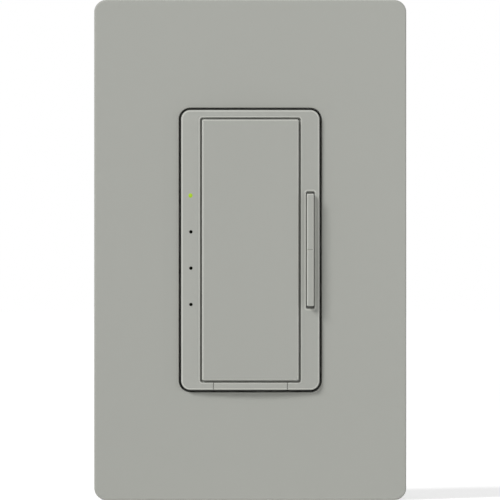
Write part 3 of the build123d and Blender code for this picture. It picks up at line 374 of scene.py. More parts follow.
def bumped(tree, height, strength, distance):
    """The normal that a height gives; the strength is a socket or a number."""
    node = tree.nodes.new("ShaderNodeBump")
    node.inputs["Distance"].default_value = distance
    tree.links.new(height, node.inputs["Height"])
    set_or_link(tree, node.inputs["Strength"], strength)
    return node.outputs["Normal"]


def finish_group(name, inputs):
    """A group that turns a place, a colour and more inputs into colour, roughness and normal."""
    return new_group(
        name,
        [("Vector", "NodeSocketVector", None), *inputs],
        [
            ("Colour", "NodeSocketColor", None),
            ("Roughness", "NodeSocketFloat", None),
            ("Normal", "NodeSocketVector", None),
        ],
    )


def moulded_skin_group():
    """Satin moulded plastic: a fine grain, a faint flow of tone and a little gloss variation."""
    group, given, result = finish_group(
        "Moulded Skin",
        [
            ("Colour", "NodeSocketColor", (0.4, 0.4, 0.4, 1.0)),
            ("Grain Scale", "NodeSocketFloat", GRAIN_SCALE),
            ("Grain Strength", "NodeSocketFloat", GRAIN_STRENGTH),
            ("Tone Spread", "NodeSocketFloat", TONE_SPREAD),
            ("Roughness", "NodeSocketFloat", 0.5),
            ("Lift", "NodeSocketFloat", 0.0),
        ],
    )
    grain = noise(group, given.outputs["Vector"], given.outputs["Grain Scale"], 3.0, 0.6)
    flow = noise(group, given.outputs["Vector"], 38.0)
    tone = math_node(
        group,
        "ADD",
        swing(group, flow, given.outputs["Tone Spread"]),
        swing(group, grain, 0.02),
    )
    # The painted highlight input brightens the colour where a rim mask is given.
    lifted = math_node(group, "ADD", given.outputs["Lift"], 1.0)
    shade = math_node(group, "ADD", tone, lifted)
    colour = tinted(group, given.outputs["Colour"], shade)
    group.links.new(colour, result.inputs["Colour"])
    gloss = math_node(group, "ADD", given.outputs["Roughness"], swing(group, flow, 0.08))
    group.links.new(gloss, result.inputs["Roughness"])
    normal = bumped(group, grain, given.outputs["Grain Strength"], 0.02 * MM)
    group.links.new(normal, result.inputs["Normal"])
    return group


def painted_rim_highlight_group():
    """Painted highlights along rims: a mask along a rounded rectangle's outline."""
    group, given, result = new_group(
        "Painted Rim Highlight",
        [
            ("Vector", "NodeSocketVector", None),
            ("Middle", "NodeSocketFloat", 0.0),
            ("Half Width", "NodeSocketFloat", 0.01),
            ("Half Height", "NodeSocketFloat", 0.01),
            ("Corner Radius", "NodeSocketFloat", 0.001),
            ("From", "NodeSocketFloat", -0.0003),
            ("To", "NodeSocketFloat", 0.0),
        ],
        [("Mask", "NodeSocketFloat", None)],
    )
    parts = group.nodes.new("ShaderNodeSeparateXYZ")
    group.links.new(given.outputs["Vector"], parts.inputs[0])
    across = math_node(group, "SUBTRACT", parts.outputs["X"], given.outputs["Middle"])
    radius = given.outputs["Corner Radius"]
    squares = []
    for offset, half in ((across, "Half Width"), (parts.outputs["Z"], "Half Height")):
        away = math_node(group, "ABSOLUTE", offset, 0.0)
        beyond = math_node(group, "SUBTRACT", away, given.outputs[half])
        past_round = math_node(group, "MAXIMUM", math_node(group, "ADD", beyond, radius), 0.0)
        squares.append(math_node(group, "POWER", past_round, 2.0))
    reach = math_node(group, "SQRT", math_node(group, "ADD", *squares), 0.0)
    distance = math_node(group, "SUBTRACT", reach, radius)
    inside = math_node(group, "GREATER_THAN", distance, given.outputs["From"])
    outside = math_node(group, "LESS_THAN", distance, given.outputs["To"])
    group.links.new(math_node(group, "MULTIPLY", inside, outside), result.inputs["Mask"])
    return group


def rolled_sheet_group():
    """Rolled and stamped sheet metal: long fine streaks with a few cloudy marks."""
    group, given, result = finish_group(
        "Rolled Sheet",
        [
            ("Colour", "NodeSocketColor", (0.7, 0.7, 0.7, 1.0)),
            ("Streak Strength", "NodeSocketFloat", 0.15),
            ("Roughness", "NodeSocketFloat", 0.35),
        ],
    )
    stretch = group.nodes.new("ShaderNodeMapping")
    stretch.inputs["Scale"].default_value = (1.0, 1.0, 0.04)
    group.links.new(given.outputs["Vector"], stretch.inputs["Vector"])
    streaks = noise(group, stretch.outputs["Vector"], 4200.0, 4.0, 0.65)
    clouds = noise(group, given.outputs["Vector"], 120.0, 3.0)
    shade = math_node(group, "ADD", math_node(group, "MULTIPLY", streaks, 0.16), 0.92)
    colour = tinted(group, given.outputs["Colour"], shade)
    group.links.new(colour, result.inputs["Colour"])
    marks = math_node(group, "ADD", swing(group, clouds, 0.22), swing(group, streaks, 0.2))
    gloss = math_node(group, "ADD", marks, given.outputs["Roughness"])
    group.links.new(gloss, result.inputs["Roughness"])
    normal = bumped(group, streaks, given.outputs["Streak Strength"], 0.02 * MM)
    group.links.new(normal, result.inputs["Normal"])
    return group


def plated_group():
    """Plated or coated small metal: soft mottling and fine pits."""
    group, given, result = finish_group(
        "Plated Metal",
        [
            ("Colour", "NodeSocketColor", (0.7, 0.7, 0.7, 1.0)),
            ("Mottle", "NodeSocketFloat", 0.15),
            ("Roughness", "NodeSocketFloat", 0.3),
        ],
    )
    mottle = noise(group, given.outputs["Vector"], 900.0, 4.0, 0.6)
    pits = noise(group, given.outputs["Vector"], 6500.0)
    shade = math_node(group, "ADD", swing(group, mottle, given.outputs["Mottle"]), 1.0)
    colour = tinted(group, given.outputs["Colour"], shade)
    group.links.new(colour, result.inputs["Colour"])
    gloss = math_node(group, "ADD", swing(group, mottle, 0.3), given.outputs["Roughness"])
    group.links.new(gloss, result.inputs["Roughness"])
    group.links.new(bumped(group, pits, 0.12, 0.01 * MM), result.inputs["Normal"])
    return group


def board_group():
    """Circuit board: solder mask with tracks under it and tinned pads."""
    group, given, result = new_group(
        "Circuit Board",
        [("Vector", "NodeSocketVector", None)],
        [
            ("Colour", "NodeSocketColor", None),
            ("Pads", "NodeSocketFloat", None),
            ("Normal", "NodeSocketVector", None),
        ],
    )
    turn = group.nodes.new("ShaderNodeMapping")
    turn.inputs["Rotation"].default_value = (pi / 2, 0.0, 0.0)
    group.links.new(given.outputs["Vector"], turn.inputs["Vector"])
    tracks = group.nodes.new("ShaderNodeTexBrick")
    tracks.inputs["Scale"].default_value = 160.0
    tracks.inputs["Mortar Size"].default_value = 0.05
    tracks.inputs["Color1"].default_value = (0.012, 0.12, 0.045, 1.0)
    tracks.inputs["Color2"].default_value = (0.016, 0.15, 0.055, 1.0)
    tracks.inputs["Mortar"].default_value = (0.03, 0.24, 0.09, 1.0)
    group.links.new(turn.outputs["Vector"], tracks.inputs["Vector"])
    cells = group.nodes.new("ShaderNodeTexVoronoi")
    cells.inputs["Scale"].default_value = 380.0
    cells.inputs["Randomness"].default_value = 0.0
    group.links.new(turn.outputs["Vector"], cells.inputs["Vector"])
    pads = math_node(group, "LESS_THAN", cells.outputs["Distance"], 0.22)
    colour = group.nodes.new("ShaderNodeMix")
    colour.data_type = "RGBA"
    group.links.new(pads, colour.inputs["Factor"])
    group.links.new(tracks.outputs["Color"], colour.inputs["A"])
    colour.inputs["B"].default_value = (0.62, 0.62, 0.60, 1.0)
    group.links.new(colour.outputs["Result"], result.inputs["Colour"])
    group.links.new(pads, result.inputs["Pads"])
    group.links.new(bumped(group, tracks.outputs["Fac"], 0.2, 0.03 * MM), result.inputs["Normal"])
    return group


def shader_group(name):
    """The named group, made the first time it is asked for."""
    makers = {
        "Moulded Skin": moulded_skin_group,
        "Painted Rim Highlight": painted_rim_highlight_group,
        "Rolled Sheet": rolled_sheet_group,
        "Plated Metal": plated_group,
        "Circuit Board": board_group,
    }
    return bpy.data.node_groups.get(name) or makers[name]()


def surface(name, group_name, values, **constants):
    """A material whose look comes from a group; constants go on the shader's own sockets."""
    material = bpy.data.materials.new(name)
    material.use_nodes = True
    tree = material.node_tree
    shader = tree.nodes["Principled BSDF"]
    place = tree.nodes.new("ShaderNodeTexCoord")
    look = tree.nodes.new("ShaderNodeGroup")
    look.node_tree = shader_group(group_name)
    tree.links.new(place.outputs["Object"], look.inputs["Vector"])
    for label, value in values.items():
        look.inputs[label].default_value = value
    for label in look.outputs.keys():
        target = {"Colour": "Base Color", "Pads": "Metallic"}.get(label, label)
        tree.links.new(look.outputs[label], shader.inputs[target])
    for label, value in constants.items():
        shader.inputs[label.replace("_", " ")].default_value = value
    return material


def plastic(
    name,
    colour,
    roughness,
    grain=GRAIN_STRENGTH,
    grain_scale=GRAIN_SCALE,
    spread=TONE_SPREAD,
    **constants,
):
    """Moulded plastic of one colour."""
    values = {
        "Colour": (*colour, 1.0),
        "Roughness": roughness,
        "Grain Strength": grain,
        "Grain Scale": grain_scale,
        "Tone Spread": spread,
    }
    return surface(name, "Moulded Skin", values, **constants)


def sheet_metal(name, colour, roughness=0.35):
    """Rolled sheet metal of one colour."""
    values = {"Colour": (*colour, 1.0), "Roughness": roughness}
    return surface(name, "Rolled Sheet", values, Metallic=1.0)


def plated(name, colour, roughness=0.3, metallic=1.0):
    """Plated or coated metal of one colour."""
    values = {"Colour": (*colour, 1.0), "Roughness": roughness}
    return surface(name, "Plated Metal", values, Metallic=metallic)


def dress(material, *names):
    """Give CAD nodes a finish."""
    for name in names:
        slots = nodes[name].data.materials
        slots.clear()
        slots.append(material)


def paint_rim_highlights(material, rim_highlights):
    """Paint highlights on a plastic along its rims by lightening its colour there."""
    tree = material.node_tree
    place = next(node for node in tree.nodes if node.type == "TEX_COORD")
    skin = next(node for node in tree.nodes if node.type == "GROUP")
    total = 0.0
    for outline, start, end, highlight_lift in rim_highlights:
        rim = tree.nodes.new("ShaderNodeGroup")
        rim.node_tree = shader_group("Painted Rim Highlight")
        tree.links.new(place.outputs["Object"], rim.inputs["Vector"])
        for socket, value in zip(list(rim.inputs)[1:], (*outline, start, end)):
            socket.default_value = value
        share = math_node(tree, "MULTIPLY", rim.outputs["Mask"], highlight_lift)
        total = math_node(tree, "ADD", share, total)
    tree.links.new(total, skin.inputs["Lift"])


# Object and mesh helpers


def add_object(name, data):
    """Put a new object in the scene."""
    item = bpy.data.objects.new(name, data)
    bpy.context.scene.collection.objects.link(item)
    return item


def mesh_object(name, bm, material):
    """Make an object of one material from a bmesh, and free the bmesh."""
    mesh = bpy.data.meshes.new(name)
    bm.to_mesh(mesh)
    bm.free()
    mesh.materials.append(material)
    return add_object(name, mesh)


def new_piece(name, bm, material, body):
    """Make a piece; it rides on a body, unless that is None because it bends."""
    bmesh.ops.recalc_face_normals(bm, faces=bm.faces)
    piece = mesh_object(name, bm, material)
    if body is not None:
        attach(piece, body)
    return piece


def merged_copy(node):
    """A bmesh of a CAD node's shape, with its loose triangles joined."""
    bm = bmesh.new()
    bm.from_mesh(nodes[node].data)
    bmesh.ops.remove_doubles(bm, verts=bm.verts, dist=MERGE_DISTANCE)
    return bm


def cut_across(bm, point, normal):
    """Cut every face that a plane crosses."""
    geometry = [*bm.verts, *bm.edges, *bm.faces]
    bmesh.ops.bisect_plane(bm, geom=geometry, plane_co=point, plane_no=normal, dist=CUT_DISTANCE)


def round_off(bm, geometry, radius, segments, affect):
    """Bevel vertices or edges."""
    bmesh.ops.bevel(
        bm,
        geom=geometry,
        offset=radius,
        offset_type="OFFSET",
        segments=segments,
        profile=0.5,
        affect=affect,
        material=-1,
    )


def lathe(bm, profile, steps):
    """Spin a profile of (radius, height) points round Z into a closed shape."""
    verts = [bm.verts.new((radius, 0.0, height)) for radius, height in profile]
    edges = [bm.edges.new(pair) for pair in zip(verts, verts[1:])]
    bmesh.ops.spin(
        bm,
        geom=verts + edges,
        cent=(0.0, 0.0, 0.0),
        axis=(0.0, 0.0, 1.0),
        angle=2 * pi,
        steps=steps,
        use_merge=True,
    )
    bmesh.ops.remove_doubles(bm, verts=bm.verts, dist=MERGE_DISTANCE)


def thread(bm, core_radius, depth, pitch, start, length):
    """Add a helical ridge round Z, from a height downwards, with closed ends."""
    root = core_radius - ROOT_SINK * depth
    crest = core_radius + depth
    profile = [
        (root, start),
        (crest, start - CREST_START * pitch),
        (crest, start - CREST_END * pitch),
        (root, start - RIDGE_END * pitch),
    ]
    face = bm.faces.new([bm.verts.new((radius, 0.0, height)) for radius, height in profile])
    turns = int(length / pitch) - 1
    bmesh.ops.spin(
        bm,
        geom=[face, *face.edges, *face.verts],
        cent=(0.0, 0.0, 0.0),
        axis=(0.0, 0.0, 1.0),
        dvec=(0.0, 0.0, -pitch / THREAD_STEPS),
        angle=2 * pi * turns,
        steps=THREAD_STEPS * turns,
    )


def cut_driver_slot(bm, top):
    """Cut a slot across a head: the slot's strip is bisected out and pushed down."""
    half_width = DRIVER_SLOT_WIDTH / 2
    for x in (-half_width, half_width):
        cut_across(bm, (x, 0.0, 0.0), (1.0, 0.0, 0.0))
    strip = []
    for face in bm.faces:
        middle = face.calc_center_median()
        on_dome = face.normal.z > 0.05 and middle.z > top - 1.5 * DRIVER_SLOT_DEPTH
        if abs(middle.x) < half_width and on_dome:
            strip.append(face)
    made = bmesh.ops.extrude_face_region(bm, geom=strip)
    bmesh.ops.delete(bm, geom=strip, context="FACES")
    for item in made["geom"]:
        if isinstance(item, bmesh.types.BMVert):
            item.co.z = top - DRIVER_SLOT_DEPTH


def slotted_screw(sizes, node, metal, facing):
    """Replace a CAD screw by a threaded one with a domed, slotted head that faces one way."""
    radius, head_tall, plain_length = SCREWS[node.split("_")[0]]
    low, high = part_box(node)
    way = Vector(facing)
    spans = high - low
    head = spans.z / 2
    length = abs(spans.dot(way)) - head_tall
    outer = high if sum(facing) > 0 else low
    middle = (low + high) / 2
    seat = middle + way * (outer - middle).dot(way) - way * head_tall
    core = radius - sizes.thread_depth
    bm = bmesh.new()
    profile = [
        (0.0, head_tall),
        *[(share * head, head_tall - drop) for share, drop in HEAD_DOME],
        (head, 0.0),
        (core, 0.0),
        (core, TIP_LENGTH - length),
        (TIP_SHARE * core, -length),
        (0.0, -length),
    ]
    lathe(bm, profile, HEAD_STEPS)
    cut_driver_slot(bm, head_tall)
    thread_length = length - plain_length - THREAD_END
    thread(bm, core, sizes.thread_depth, sizes.thread_pitch, -plain_length, thread_length)
    place = Matrix.Translation(seat) @ way.to_track_quat("Z", "Y").to_matrix().to_4x4()
    bmesh.ops.transform(bm, matrix=place, verts=bm.verts)
    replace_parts(new_piece(f"{node}_threaded", bm, metal, "fixed_parts"), node)


def ledge_block(bm, place, size):
    """Add a small block with softened edges."""
    matrix = Matrix.Translation(place) @ Matrix.Diagonal((*size, 1.0))
    made = bmesh.ops.create_cube(bm, size=1.0, matrix=matrix)
    edges = dict.fromkeys(edge for vert in made["verts"] for edge in vert.link_edges)
    round_off(bm, list(edges), LEDGE_SOFT_EDGE, 2, "EDGES")


# Operators, one for each piece or group of like pieces


class FANSWITCH_OT_front_plastics(bpy.types.Operator):
    """Give the cover, adapter, bezel, paddle, rocker and service tab their satin grey plastic"""

    bl_idname = "fan_switch.front_plastics"
    bl_label = "Front plastics"

    def execute(self, context):
        colours = context.scene.fan_switch_colours
        covers = ("wallplate_cover", "wallplate_adapter")
        frames = ("bezel_frame", "service_tab")
        finishes = (
            ("satin_plate_grey", colours.plate, 0.52, [], covers),
            ("satin_bezel_grey", colours.bezel, 0.46, BEZEL_RIM_HIGHLIGHTS, frames),
            ("satin_paddle_grey", colours.controls, 0.46, PADDLE_RIM_HIGHLIGHTS, ("tap_paddle",)),
            ("satin_rocker_grey", colours.controls, 0.46, ROCKER_RIM_HIGHLIGHTS, ("speed_rocker",)),
        )
        for name, colour, roughness, rim_highlights, pieces in finishes:
            material = plastic(name, colour, roughness, Specular_IOR_Level=0.4)
            # Rims get painted highlights: lighter bands of colour along the edges.
            if rim_highlights:
                paint_rim_highlights(material, rim_highlights)
            dress(material, *pieces)
        return {"FINISHED"}


class FANSWITCH_OT_bezel_ledges(bpy.types.Operator):
    """Make the bezel's thin ledges that close the slits round the paddle, rocker and service tab"""

    bl_idname = "fan_switch.bezel_ledges"
    bl_label = "Bezel ledges"

    def execute(self, context):
        sizes = context.scene.fan_switch_sizes
        colours = context.scene.fan_switch_colours
        material = plastic("ledge_grey", colours.controls, 0.6, Specular_IOR_Level=0.2)
        self.paddle_ring(sizes, material)
        self.slot_ends(sizes, material)
        self.tab_seams(material)
        return {"FINISHED"}

    def paddle_ring(self, sizes, material):
        """A ledge all round the inside of the paddle's hole."""
        middle, half_width, half_height, corner_radius = HOLE_OUTLINE
        bm = bmesh.new()
        bmesh.ops.create_grid(bm, x_segments=1, y_segments=1, size=1.0)
        bmesh.ops.scale(bm, vec=(half_width, half_height, 1.0), verts=bm.verts)
        round_off(bm, list(bm.verts), corner_radius, 6, "VERTICES")
        inside = list(bm.faces)
        bmesh.ops.inset_region(
            bm,
            faces=inside,
            thickness=PADDLE_LEDGE_WIDTH,
            use_boundary=True,
            use_even_offset=True,
        )
        bmesh.ops.delete(bm, geom=inside, context="FACES_ONLY")
        made = bmesh.ops.extrude_face_region(bm, geom=list(bm.faces))
        raised = [item for item in made["geom"] if isinstance(item, bmesh.types.BMVert)]
        bmesh.ops.translate(bm, vec=(0.0, 0.0, LEDGE_THICKNESS), verts=raised)
        upright = Matrix.Rotation(pi / 2, 4, "X")
        place = Matrix.Translation((middle, LEDGE_THICKNESS - sizes.ledge_depth, 0.0)) @ upright
        bmesh.ops.transform(bm, matrix=place, verts=bm.verts)
        new_piece("paddle_ledge", bm, material, "fixed_parts")

    def slot_ends(self, sizes, material):
        """A ledge at each end of the rocker's slot."""
        middle, half_width, half_height, _ = SLOT_OUTLINE
        bm = bmesh.new()
        for end in (-1.0, 1.0):
            height = end * (half_height - SLOT_LEDGE_REACH / 2)
            place = (middle, LEDGE_THICKNESS - sizes.ledge_depth, height)
            ledge_block(bm, place, (2 * half_width, LEDGE_THICKNESS, SLOT_LEDGE_REACH))
        new_piece("rocker_ledges", bm, material, "fixed_parts")

    def tab_seams(self, material):
        """A low ledge along each side of the service tab."""
        low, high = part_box("service_tab")
        bm = bmesh.new()
        for side in (-1.0, 1.0):
            x = side * TAB_SEAM_OUTER - side * TAB_LEDGE_WIDTH / 2
            place = (x, LEDGE_THICKNESS / 2 - TAB_LEDGE_FRONT, (low.z + high.z) / 2)
            size = (TAB_LEDGE_WIDTH, LEDGE_THICKNESS, high.z - low.z - TAB_LEDGE_SHORT)
            ledge_block(bm, place, size)
        new_piece("tab_ledges", bm, material, "fixed_parts")


class FANSWITCH_OT_indicators(bpy.types.Operator):
    """Make the clear light guide and the small window over each speed indicator"""

    bl_idname = "fan_switch.indicators"
    bl_label = "Speed indicators"

    def execute(self, context):
        colours = context.scene.fan_switch_colours
        sizes = context.scene.fan_switch_sizes
        clear = plastic(
            "clear_guide_plastic",
            (0.78, 0.80, 0.74),
            0.12,
            grain=0.03,
            Transmission_Weight=0.7,
            IOR=1.49,
        )
        dress(clear, "light_guide")
        off = plastic("unlit_window", colours.unlit, 0.5, grain=0.02, Specular_IOR_Level=0.02)
        on = plastic("lit_window", colours.lit, 0.5, grain=0.02, Specular_IOR_Level=0.2)
        shader = on.node_tree.nodes["Principled BSDF"]
        shader.inputs["Emission Color"].default_value = (*colours.lit, 1.0)
        shader.inputs["Emission Strength"].default_value = LIT_GLOW
        dress(on, LIGHT_NODES[0])
        dress(off, *LIGHT_NODES[1:])
        for number, node in enumerate(LIGHT_NODES, 1):
            if number == 1:
                self.window(number, node, sizes.lens_radius, LIT_LENS, on, "lit_indicator")
            else:
                self.window(number, node, sizes.lens_radius, UNLIT_LENS, off, "dark_indicator")
        return {"FINISHED"}

    def window(self, number, node, unlit_radius, lens, material, slot):
        """A flat lens at the front end of the light guide's post over an indicator."""
        widened, flatness = lens
        low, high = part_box(node)
        middle = (low + high) / 2
        guide_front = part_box("light_guide")[0].y
        bm = bmesh.new()
        radius = unlit_radius * widened
        bmesh.ops.create_uvsphere(bm, u_segments=32, v_segments=24, radius=radius)
        squashed = Matrix.Diagonal((1.0, flatness, 1.0, 1.0))
        place = Matrix.Translation((middle.x, guide_front, middle.z))
        bmesh.ops.transform(bm, matrix=place @ squashed, verts=bm.verts)
        for face in bm.faces:
            face.smooth = True
        new_piece(f"indicator_window_{number}", bm, material, "fixed_parts")


class FANSWITCH_OT_box_screws(bpy.types.Operator):
    """Make the two threaded screws that hold the switch to its wall box"""

    bl_idname = "fan_switch.box_screws"
    bl_label = "Wall box screws"

    def execute(self, context):
        sizes = context.scene.fan_switch_sizes
        zinc = plated("zinc_plated_steel", (0.62, 0.62, 0.60))
        for node in ("box_screw_upper", "box_screw_lower"):
            slotted_screw(sizes, node, zinc, (0, -1, 0))
        return {"FINISHED"}


class FANSWITCH_OT_terminal_screws(bpy.types.Operator):
    """Make the coloured screws of the terminals and the ground screw behind the yoke"""

    bl_idname = "fan_switch.terminal_screws"
    bl_label = "Terminal screws"

    def execute(self, context):
        sizes = context.scene.fan_switch_sizes
        for wire, facing in (("line", -1), ("load", -1), ("companion", 1)):
            metal = bpy.data.materials[TERMINAL_METALS[wire]]
            slotted_screw(sizes, f"{wire}_terminal_screw", metal, (facing, 0, 0))
        green = plated("green_coated_steel", (0.03, 0.26, 0.08), metallic=0.7)
        slotted_screw(sizes, "ground_screw", green, (0, 1, 0))
        return {"FINISHED"}


class FANSWITCH_OT_bending_parts(bpy.types.Operator):
    """Make the parts that bend in use: the paddle's leaf spring and the rocker's rubber keys"""

    bl_idname = "fan_switch.bending_parts"
    bl_label = "Bending parts"

    def execute(self, context):
        lower, upper = SPRING_BEND
        bm = merged_copy("paddle_return_spring")
        for step in range(1, SPRING_STEPS):
            height = lower + (upper - lower) * step / SPRING_STEPS
            cut_across(bm, (0.0, 0.0, height), (0.0, 0.0, 1.0))
        metal = bpy.data.materials["spring_strip"]
        spring = new_piece("return_spring_leaf", bm, metal, None)
        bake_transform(spring)
        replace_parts(spring, "paddle_return_spring")

        rubber = plastic("silicone_rubber", (0.32, 0.32, 0.31), 0.65, grain=0.2)
        bm = merged_copy("raise_lower_keypad")
        keys = new_piece("rubber_keys", bm, rubber, None)
        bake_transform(keys)
        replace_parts(keys, "raise_lower_keypad")
        return {"FINISHED"}


class FANSWITCH_OT_metal_parts(bpy.types.Operator):
    """Finish the yoke, springs, contacts, terminals and the remaining screws"""

    bl_idname = "fan_switch.metal_parts"
    bl_label = "Metal parts"

    def execute(self, context):
        dress(sheet_metal("stamped_aluminium", (0.72, 0.72, 0.73)), "mounting_yoke")
        dress(sheet_metal("spring_strip", (0.60, 0.58, 0.52), 0.25), "airgap_contact_spring")
        brass = plated(TERMINAL_METALS["load"], (0.80, 0.56, 0.22))
        dress(brass, "airgap_contact_fixed", "load_terminal_plate", "load_terminal_clamp")
        black = plated(TERMINAL_METALS["line"], (0.035, 0.035, 0.037), 0.35, metallic=0.9)
        dress(black, "line_terminal_plate", "line_terminal_clamp")
        blue = plated(TERMINAL_METALS["companion"], (0.03, 0.10, 0.42), metallic=0.8)
        dress(blue, "companion_terminal_plate", "companion_terminal_clamp")
        zinc = plated("zinc_plated_small_screws", (0.66, 0.66, 0.64))
        dress(zinc, "adapter_screw_upper", "adapter_screw_lower")
        dress(zinc, *[f"housing_screw_{number}" for number in range(1, 5)])
        return {"FINISHED"}


class FANSWITCH_OT_rear_parts(bpy.types.Operator):
    """Finish the rear housing, the fibre retainers and the insulating sheet"""

    bl_idname = "fan_switch.rear_parts"
    bl_label = "Rear parts"

    def execute(self, context):
        colours = context.scene.fan_switch_colours
        housing = plastic(
            "textured_housing_black",
            colours.housing,
            0.55,
            grain=0.5,
            grain_scale=2600.0,
            spread=0.05,
        )
        dress(housing, "rear_housing")
        card = plastic(
            "pressed_card",
            (0.72, 0.68, 0.56),
            0.85,
            grain=0.5,
            grain_scale=1500.0,
            spread=0.12,
        )
        dress(card, "box_screw_retainer_upper", "box_screw_retainer_lower")
        dress(plastic("dark_insulating_sheet", (0.06, 0.06, 0.065), 0.6), "switch_insulator")
        return {"FINISHED"}


class FANSWITCH_OT_electronics(bpy.types.Operator):
    """Finish the circuit boards and everything that stands on them"""

    bl_idname = "fan_switch.electronics"
    bl_label = "Electronics"

    def execute(self, context):
        board = surface("green_circuit_board", "Circuit Board", {}, Roughness=0.3)
        dress(board, "control_board", "power_board")
        relays = plastic("relay_case_black", (0.02, 0.02, 0.022), 0.35, grain=0.1)
        dress(relays, *[f"speed_relay_{number}" for number in range(1, 4)])
        dress(relays, "microcontroller", "board_header")
        film = plastic("film_capacitor_yellow", (0.62, 0.44, 0.08), 0.3)
        dress(film, "fan_capacitor_1", "fan_capacitor_2")
        ferrite = plastic(
            "dark_ferrite",
            (0.05, 0.05, 0.055),
            0.6,
            grain=0.4,
            grain_scale=1800.0,
            spread=0.1,
        )
        dress(ferrite, "choke_core")
        dress(plated("enamelled_copper", (0.62, 0.24, 0.10)), "choke_winding")
        coating = plastic("varistor_coating", (0.03, 0.10, 0.35), 0.35, spread=0.1)
        dress(coating, "varistor")
        enamel = plastic("resistor_enamel", (0.20, 0.32, 0.24), 0.4, spread=0.1)
        dress(enamel, "fusible_resistor")
        dress(plastic("capacitor_sleeve", (0.02, 0.03, 0.08), 0.25), "supply_capacitor")
        dress(plastic("switch_body_black", (0.03, 0.03, 0.03), 0.4), "paddle_switch_body")
        dress(plastic("plunger_cream", (0.70, 0.66, 0.55), 0.4), "paddle_switch_plunger")
        return {"FINISHED"}


class FANSWITCH_OT_studio(bpy.types.Operator):
    """Set up the floor, the soft light and the camera straight in front"""

    bl_idname = "fan_switch.studio"
    bl_label = "Studio"

    def execute(self, context):
        studio = context.scene.fan_switch_studio
        make_floor()
        make_world(studio.fill)
        face = Vector((0.0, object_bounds()[0].y, 0.0))
        soft_light("softbox", studio.key_power, SOFTBOX_SIZE, face + SOFTBOX_PLACE, face)
        soft_light("bounce", studio.bounce_power, BOUNCE_SIZE, face + BOUNCE_PLACE, face)
        make_camera(studio)
        context.scene.view_settings.view_transform = "Standard"
        return {"FINISHED"}


# Parts of the studio


def soft_light(name, power, size, place, target):
    """A square area light that faces a point."""
    light = bpy.data.lights.new(name, "AREA")
    light.shape = "SQUARE"
    light.size = size
    light.energy = power
    lamp = add_object(name, light)
    lamp.location = place
    lamp.rotation_euler = (place - target).to_track_quat("Z", "Y").to_euler()


def make_camera(studio):
    """A long lens in front of the plate, turned a little, with the photograph's frame."""
    lens = bpy.data.cameras.new("front_camera")
    lens.sensor_width = SENSOR_MM
    lens.lens = studio.focal_length
    lens.clip_end = CAMERA_REACH
    seen_height = PHOTO_SIDE_PX / PHOTO_PX_PER_MM * MM
    distance = seen_height * studio.focal_length / SENSOR_MM
    plate_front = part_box("wallplate_cover")[0].y
    turn = radians(studio.turn)
    camera = add_object("front_camera", lens)
    camera.location = (AIM_X - distance * sin(turn), plate_front - distance * cos(turn), 0.0)
    camera.rotation_euler = (radians(90), 0.0, -turn)
    bpy.context.scene.camera = camera


def seen_directly(tree):
    """1 for the rays that show the background itself: the camera's, reflected and let through."""
    path = tree.nodes.new("ShaderNodeLightPath")
    seen = math_node(tree, "MAXIMUM", path.outputs["Is Camera Ray"], path.outputs["Is Glossy Ray"])
    return math_node(tree, "MAXIMUM", seen, path.outputs["Is Transmission Ray"])


def mixed_shader(tree, share, first, second):
    """The first shader where the share is 0, and the second where it is 1."""
    mix = tree.nodes.new("ShaderNodeMixShader")
    tree.links.new(share, mix.inputs["Fac"])
    tree.links.new(first, mix.inputs[1])
    tree.links.new(second, mix.inputs[2])
    return mix.outputs[0]


def make_floor():
    """A wide pale floor under the plate's lower edge, white to the camera where no shadow falls."""
    material = bpy.data.materials.new("pale_floor")
    material.use_nodes = True
    tree = material.node_tree
    tree.nodes.clear()
    paint = tree.nodes.new("ShaderNodeBsdfDiffuse")
    paint.inputs["Color"].default_value = FLOOR_PAINT
    place = tree.nodes.new("ShaderNodeTexCoord")
    away = tree.nodes.new("ShaderNodeVectorMath")
    away.operation = "LENGTH"
    tree.links.new(place.outputs["Object"], away.inputs[0])
    strength = tree.nodes.new("ShaderNodeMapRange")
    for label, value in FLOOR_GLOW.items():
        strength.inputs[label].default_value = value
    tree.links.new(away.outputs["Value"], strength.inputs["Value"])
    glow = tree.nodes.new("ShaderNodeEmission")
    tree.links.new(strength.outputs["Result"], glow.inputs["Strength"])
    lifted = tree.nodes.new("ShaderNodeAddShader")
    tree.links.new(paint.outputs[0], lifted.inputs[0])
    tree.links.new(glow.outputs[0], lifted.inputs[1])
    top = mixed_shader(tree, seen_directly(tree), paint.outputs[0], lifted.outputs[0])
    clear = tree.nodes.new("ShaderNodeBsdfTransparent")
    side = tree.nodes.new("ShaderNodeNewGeometry")
    path = tree.nodes.new("ShaderNodeLightPath")
    below = math_node(tree, "MULTIPLY", side.outputs["Backfacing"], path.outputs["Is Camera Ray"])
    output = tree.nodes.new("ShaderNodeOutputMaterial")
    whole = mixed_shader(tree, below, top, clear.outputs[0])
    tree.links.new(whole, output.inputs["Surface"])
    bm = bmesh.new()
    bmesh.ops.create_grid(bm, x_segments=1, y_segments=1, size=FLOOR_HALF_SIDE)
    bmesh.ops.translate(bm, vec=(0.0, 0.0, cad_box[0].z), verts=bm.verts)
    mesh_object("floor", bm, material)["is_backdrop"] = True


def make_world(fill):
    """Even soft fill from all round, and plain white where the camera or a reflection sees it."""
    world = bpy.data.worlds.new("studio")
    bpy.context.scene.world = world
    world.use_nodes = True
    tree = world.node_tree
    soft = tree.nodes["Background"]
    white = tree.nodes.new("ShaderNodeBackground")
    for background, strength in ((soft, fill), (white, 1.0)):
        background.inputs["Color"].default_value = WHITE
        background.inputs["Strength"].default_value = strength
    mixed = mixed_shader(tree, seen_directly(tree), soft.outputs[0], white.outputs[0])
    tree.links.new(mixed, tree.nodes["World Output"].inputs["Surface"])


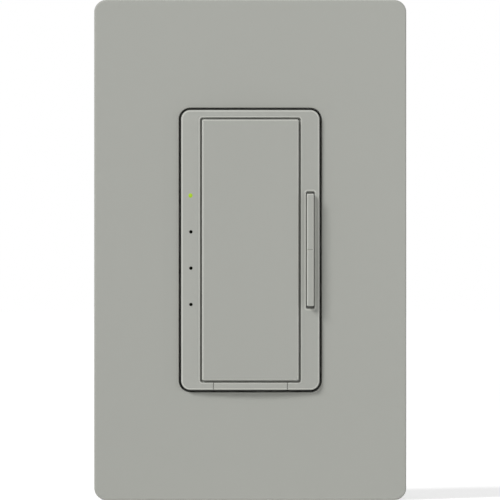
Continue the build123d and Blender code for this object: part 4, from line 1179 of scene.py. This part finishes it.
class FANSWITCH_PT_panel(bpy.types.Panel):
    """Sizes, colours and steps of the fan speed control"""

    bl_idname = "FANSWITCH_PT_panel"
    bl_label = "Fan Switch"
    bl_space_type = "VIEW_3D"
    bl_region_type = "UI"
    bl_category = "Fan Switch"

    def draw(self, context):
        for settings in (
            context.scene.fan_switch_colours,
            context.scene.fan_switch_sizes,
            context.scene.fan_switch_studio,
        ):
            box = self.layout.box()
            for name in settings.bl_rna.properties.keys():
                if name not in ("rna_type", "name"):
                    box.prop(settings, name)
        for step in STEPS:
            self.layout.operator(step.bl_idname)


STEPS = (
    FANSWITCH_OT_front_plastics,
    FANSWITCH_OT_bezel_ledges,
    FANSWITCH_OT_indicators,
    FANSWITCH_OT_box_screws,
    FANSWITCH_OT_metal_parts,
    FANSWITCH_OT_bending_parts,
    FANSWITCH_OT_terminal_screws,
    FANSWITCH_OT_rear_parts,
    FANSWITCH_OT_electronics,
    FANSWITCH_OT_studio,
)
CLASSES = (FanSwitchColours, FanSwitchSizes, FanSwitchStudio, *STEPS, FANSWITCH_PT_panel)


def register():
    for cls in CLASSES:
        bpy.utils.register_class(cls)
    bpy.types.Scene.fan_switch_colours = PointerProperty(type=FanSwitchColours)
    bpy.types.Scene.fan_switch_sizes = PointerProperty(type=FanSwitchSizes)
    bpy.types.Scene.fan_switch_studio = PointerProperty(type=FanSwitchStudio)


def unregister():
    del bpy.types.Scene.fan_switch_studio
    del bpy.types.Scene.fan_switch_sizes
    del bpy.types.Scene.fan_switch_colours
    for cls in reversed(CLASSES):
        bpy.utils.unregister_class(cls)


def main():
    register()
    bpy.ops.fan_switch.front_plastics()
    bpy.ops.fan_switch.bezel_ledges()
    bpy.ops.fan_switch.indicators()
    bpy.ops.fan_switch.box_screws()
    bpy.ops.fan_switch.metal_parts()
    bpy.ops.fan_switch.bending_parts()
    bpy.ops.fan_switch.terminal_screws()
    bpy.ops.fan_switch.rear_parts()
    bpy.ops.fan_switch.electronics()
    bpy.ops.fan_switch.studio()


if __name__ == "__main__":
    main()
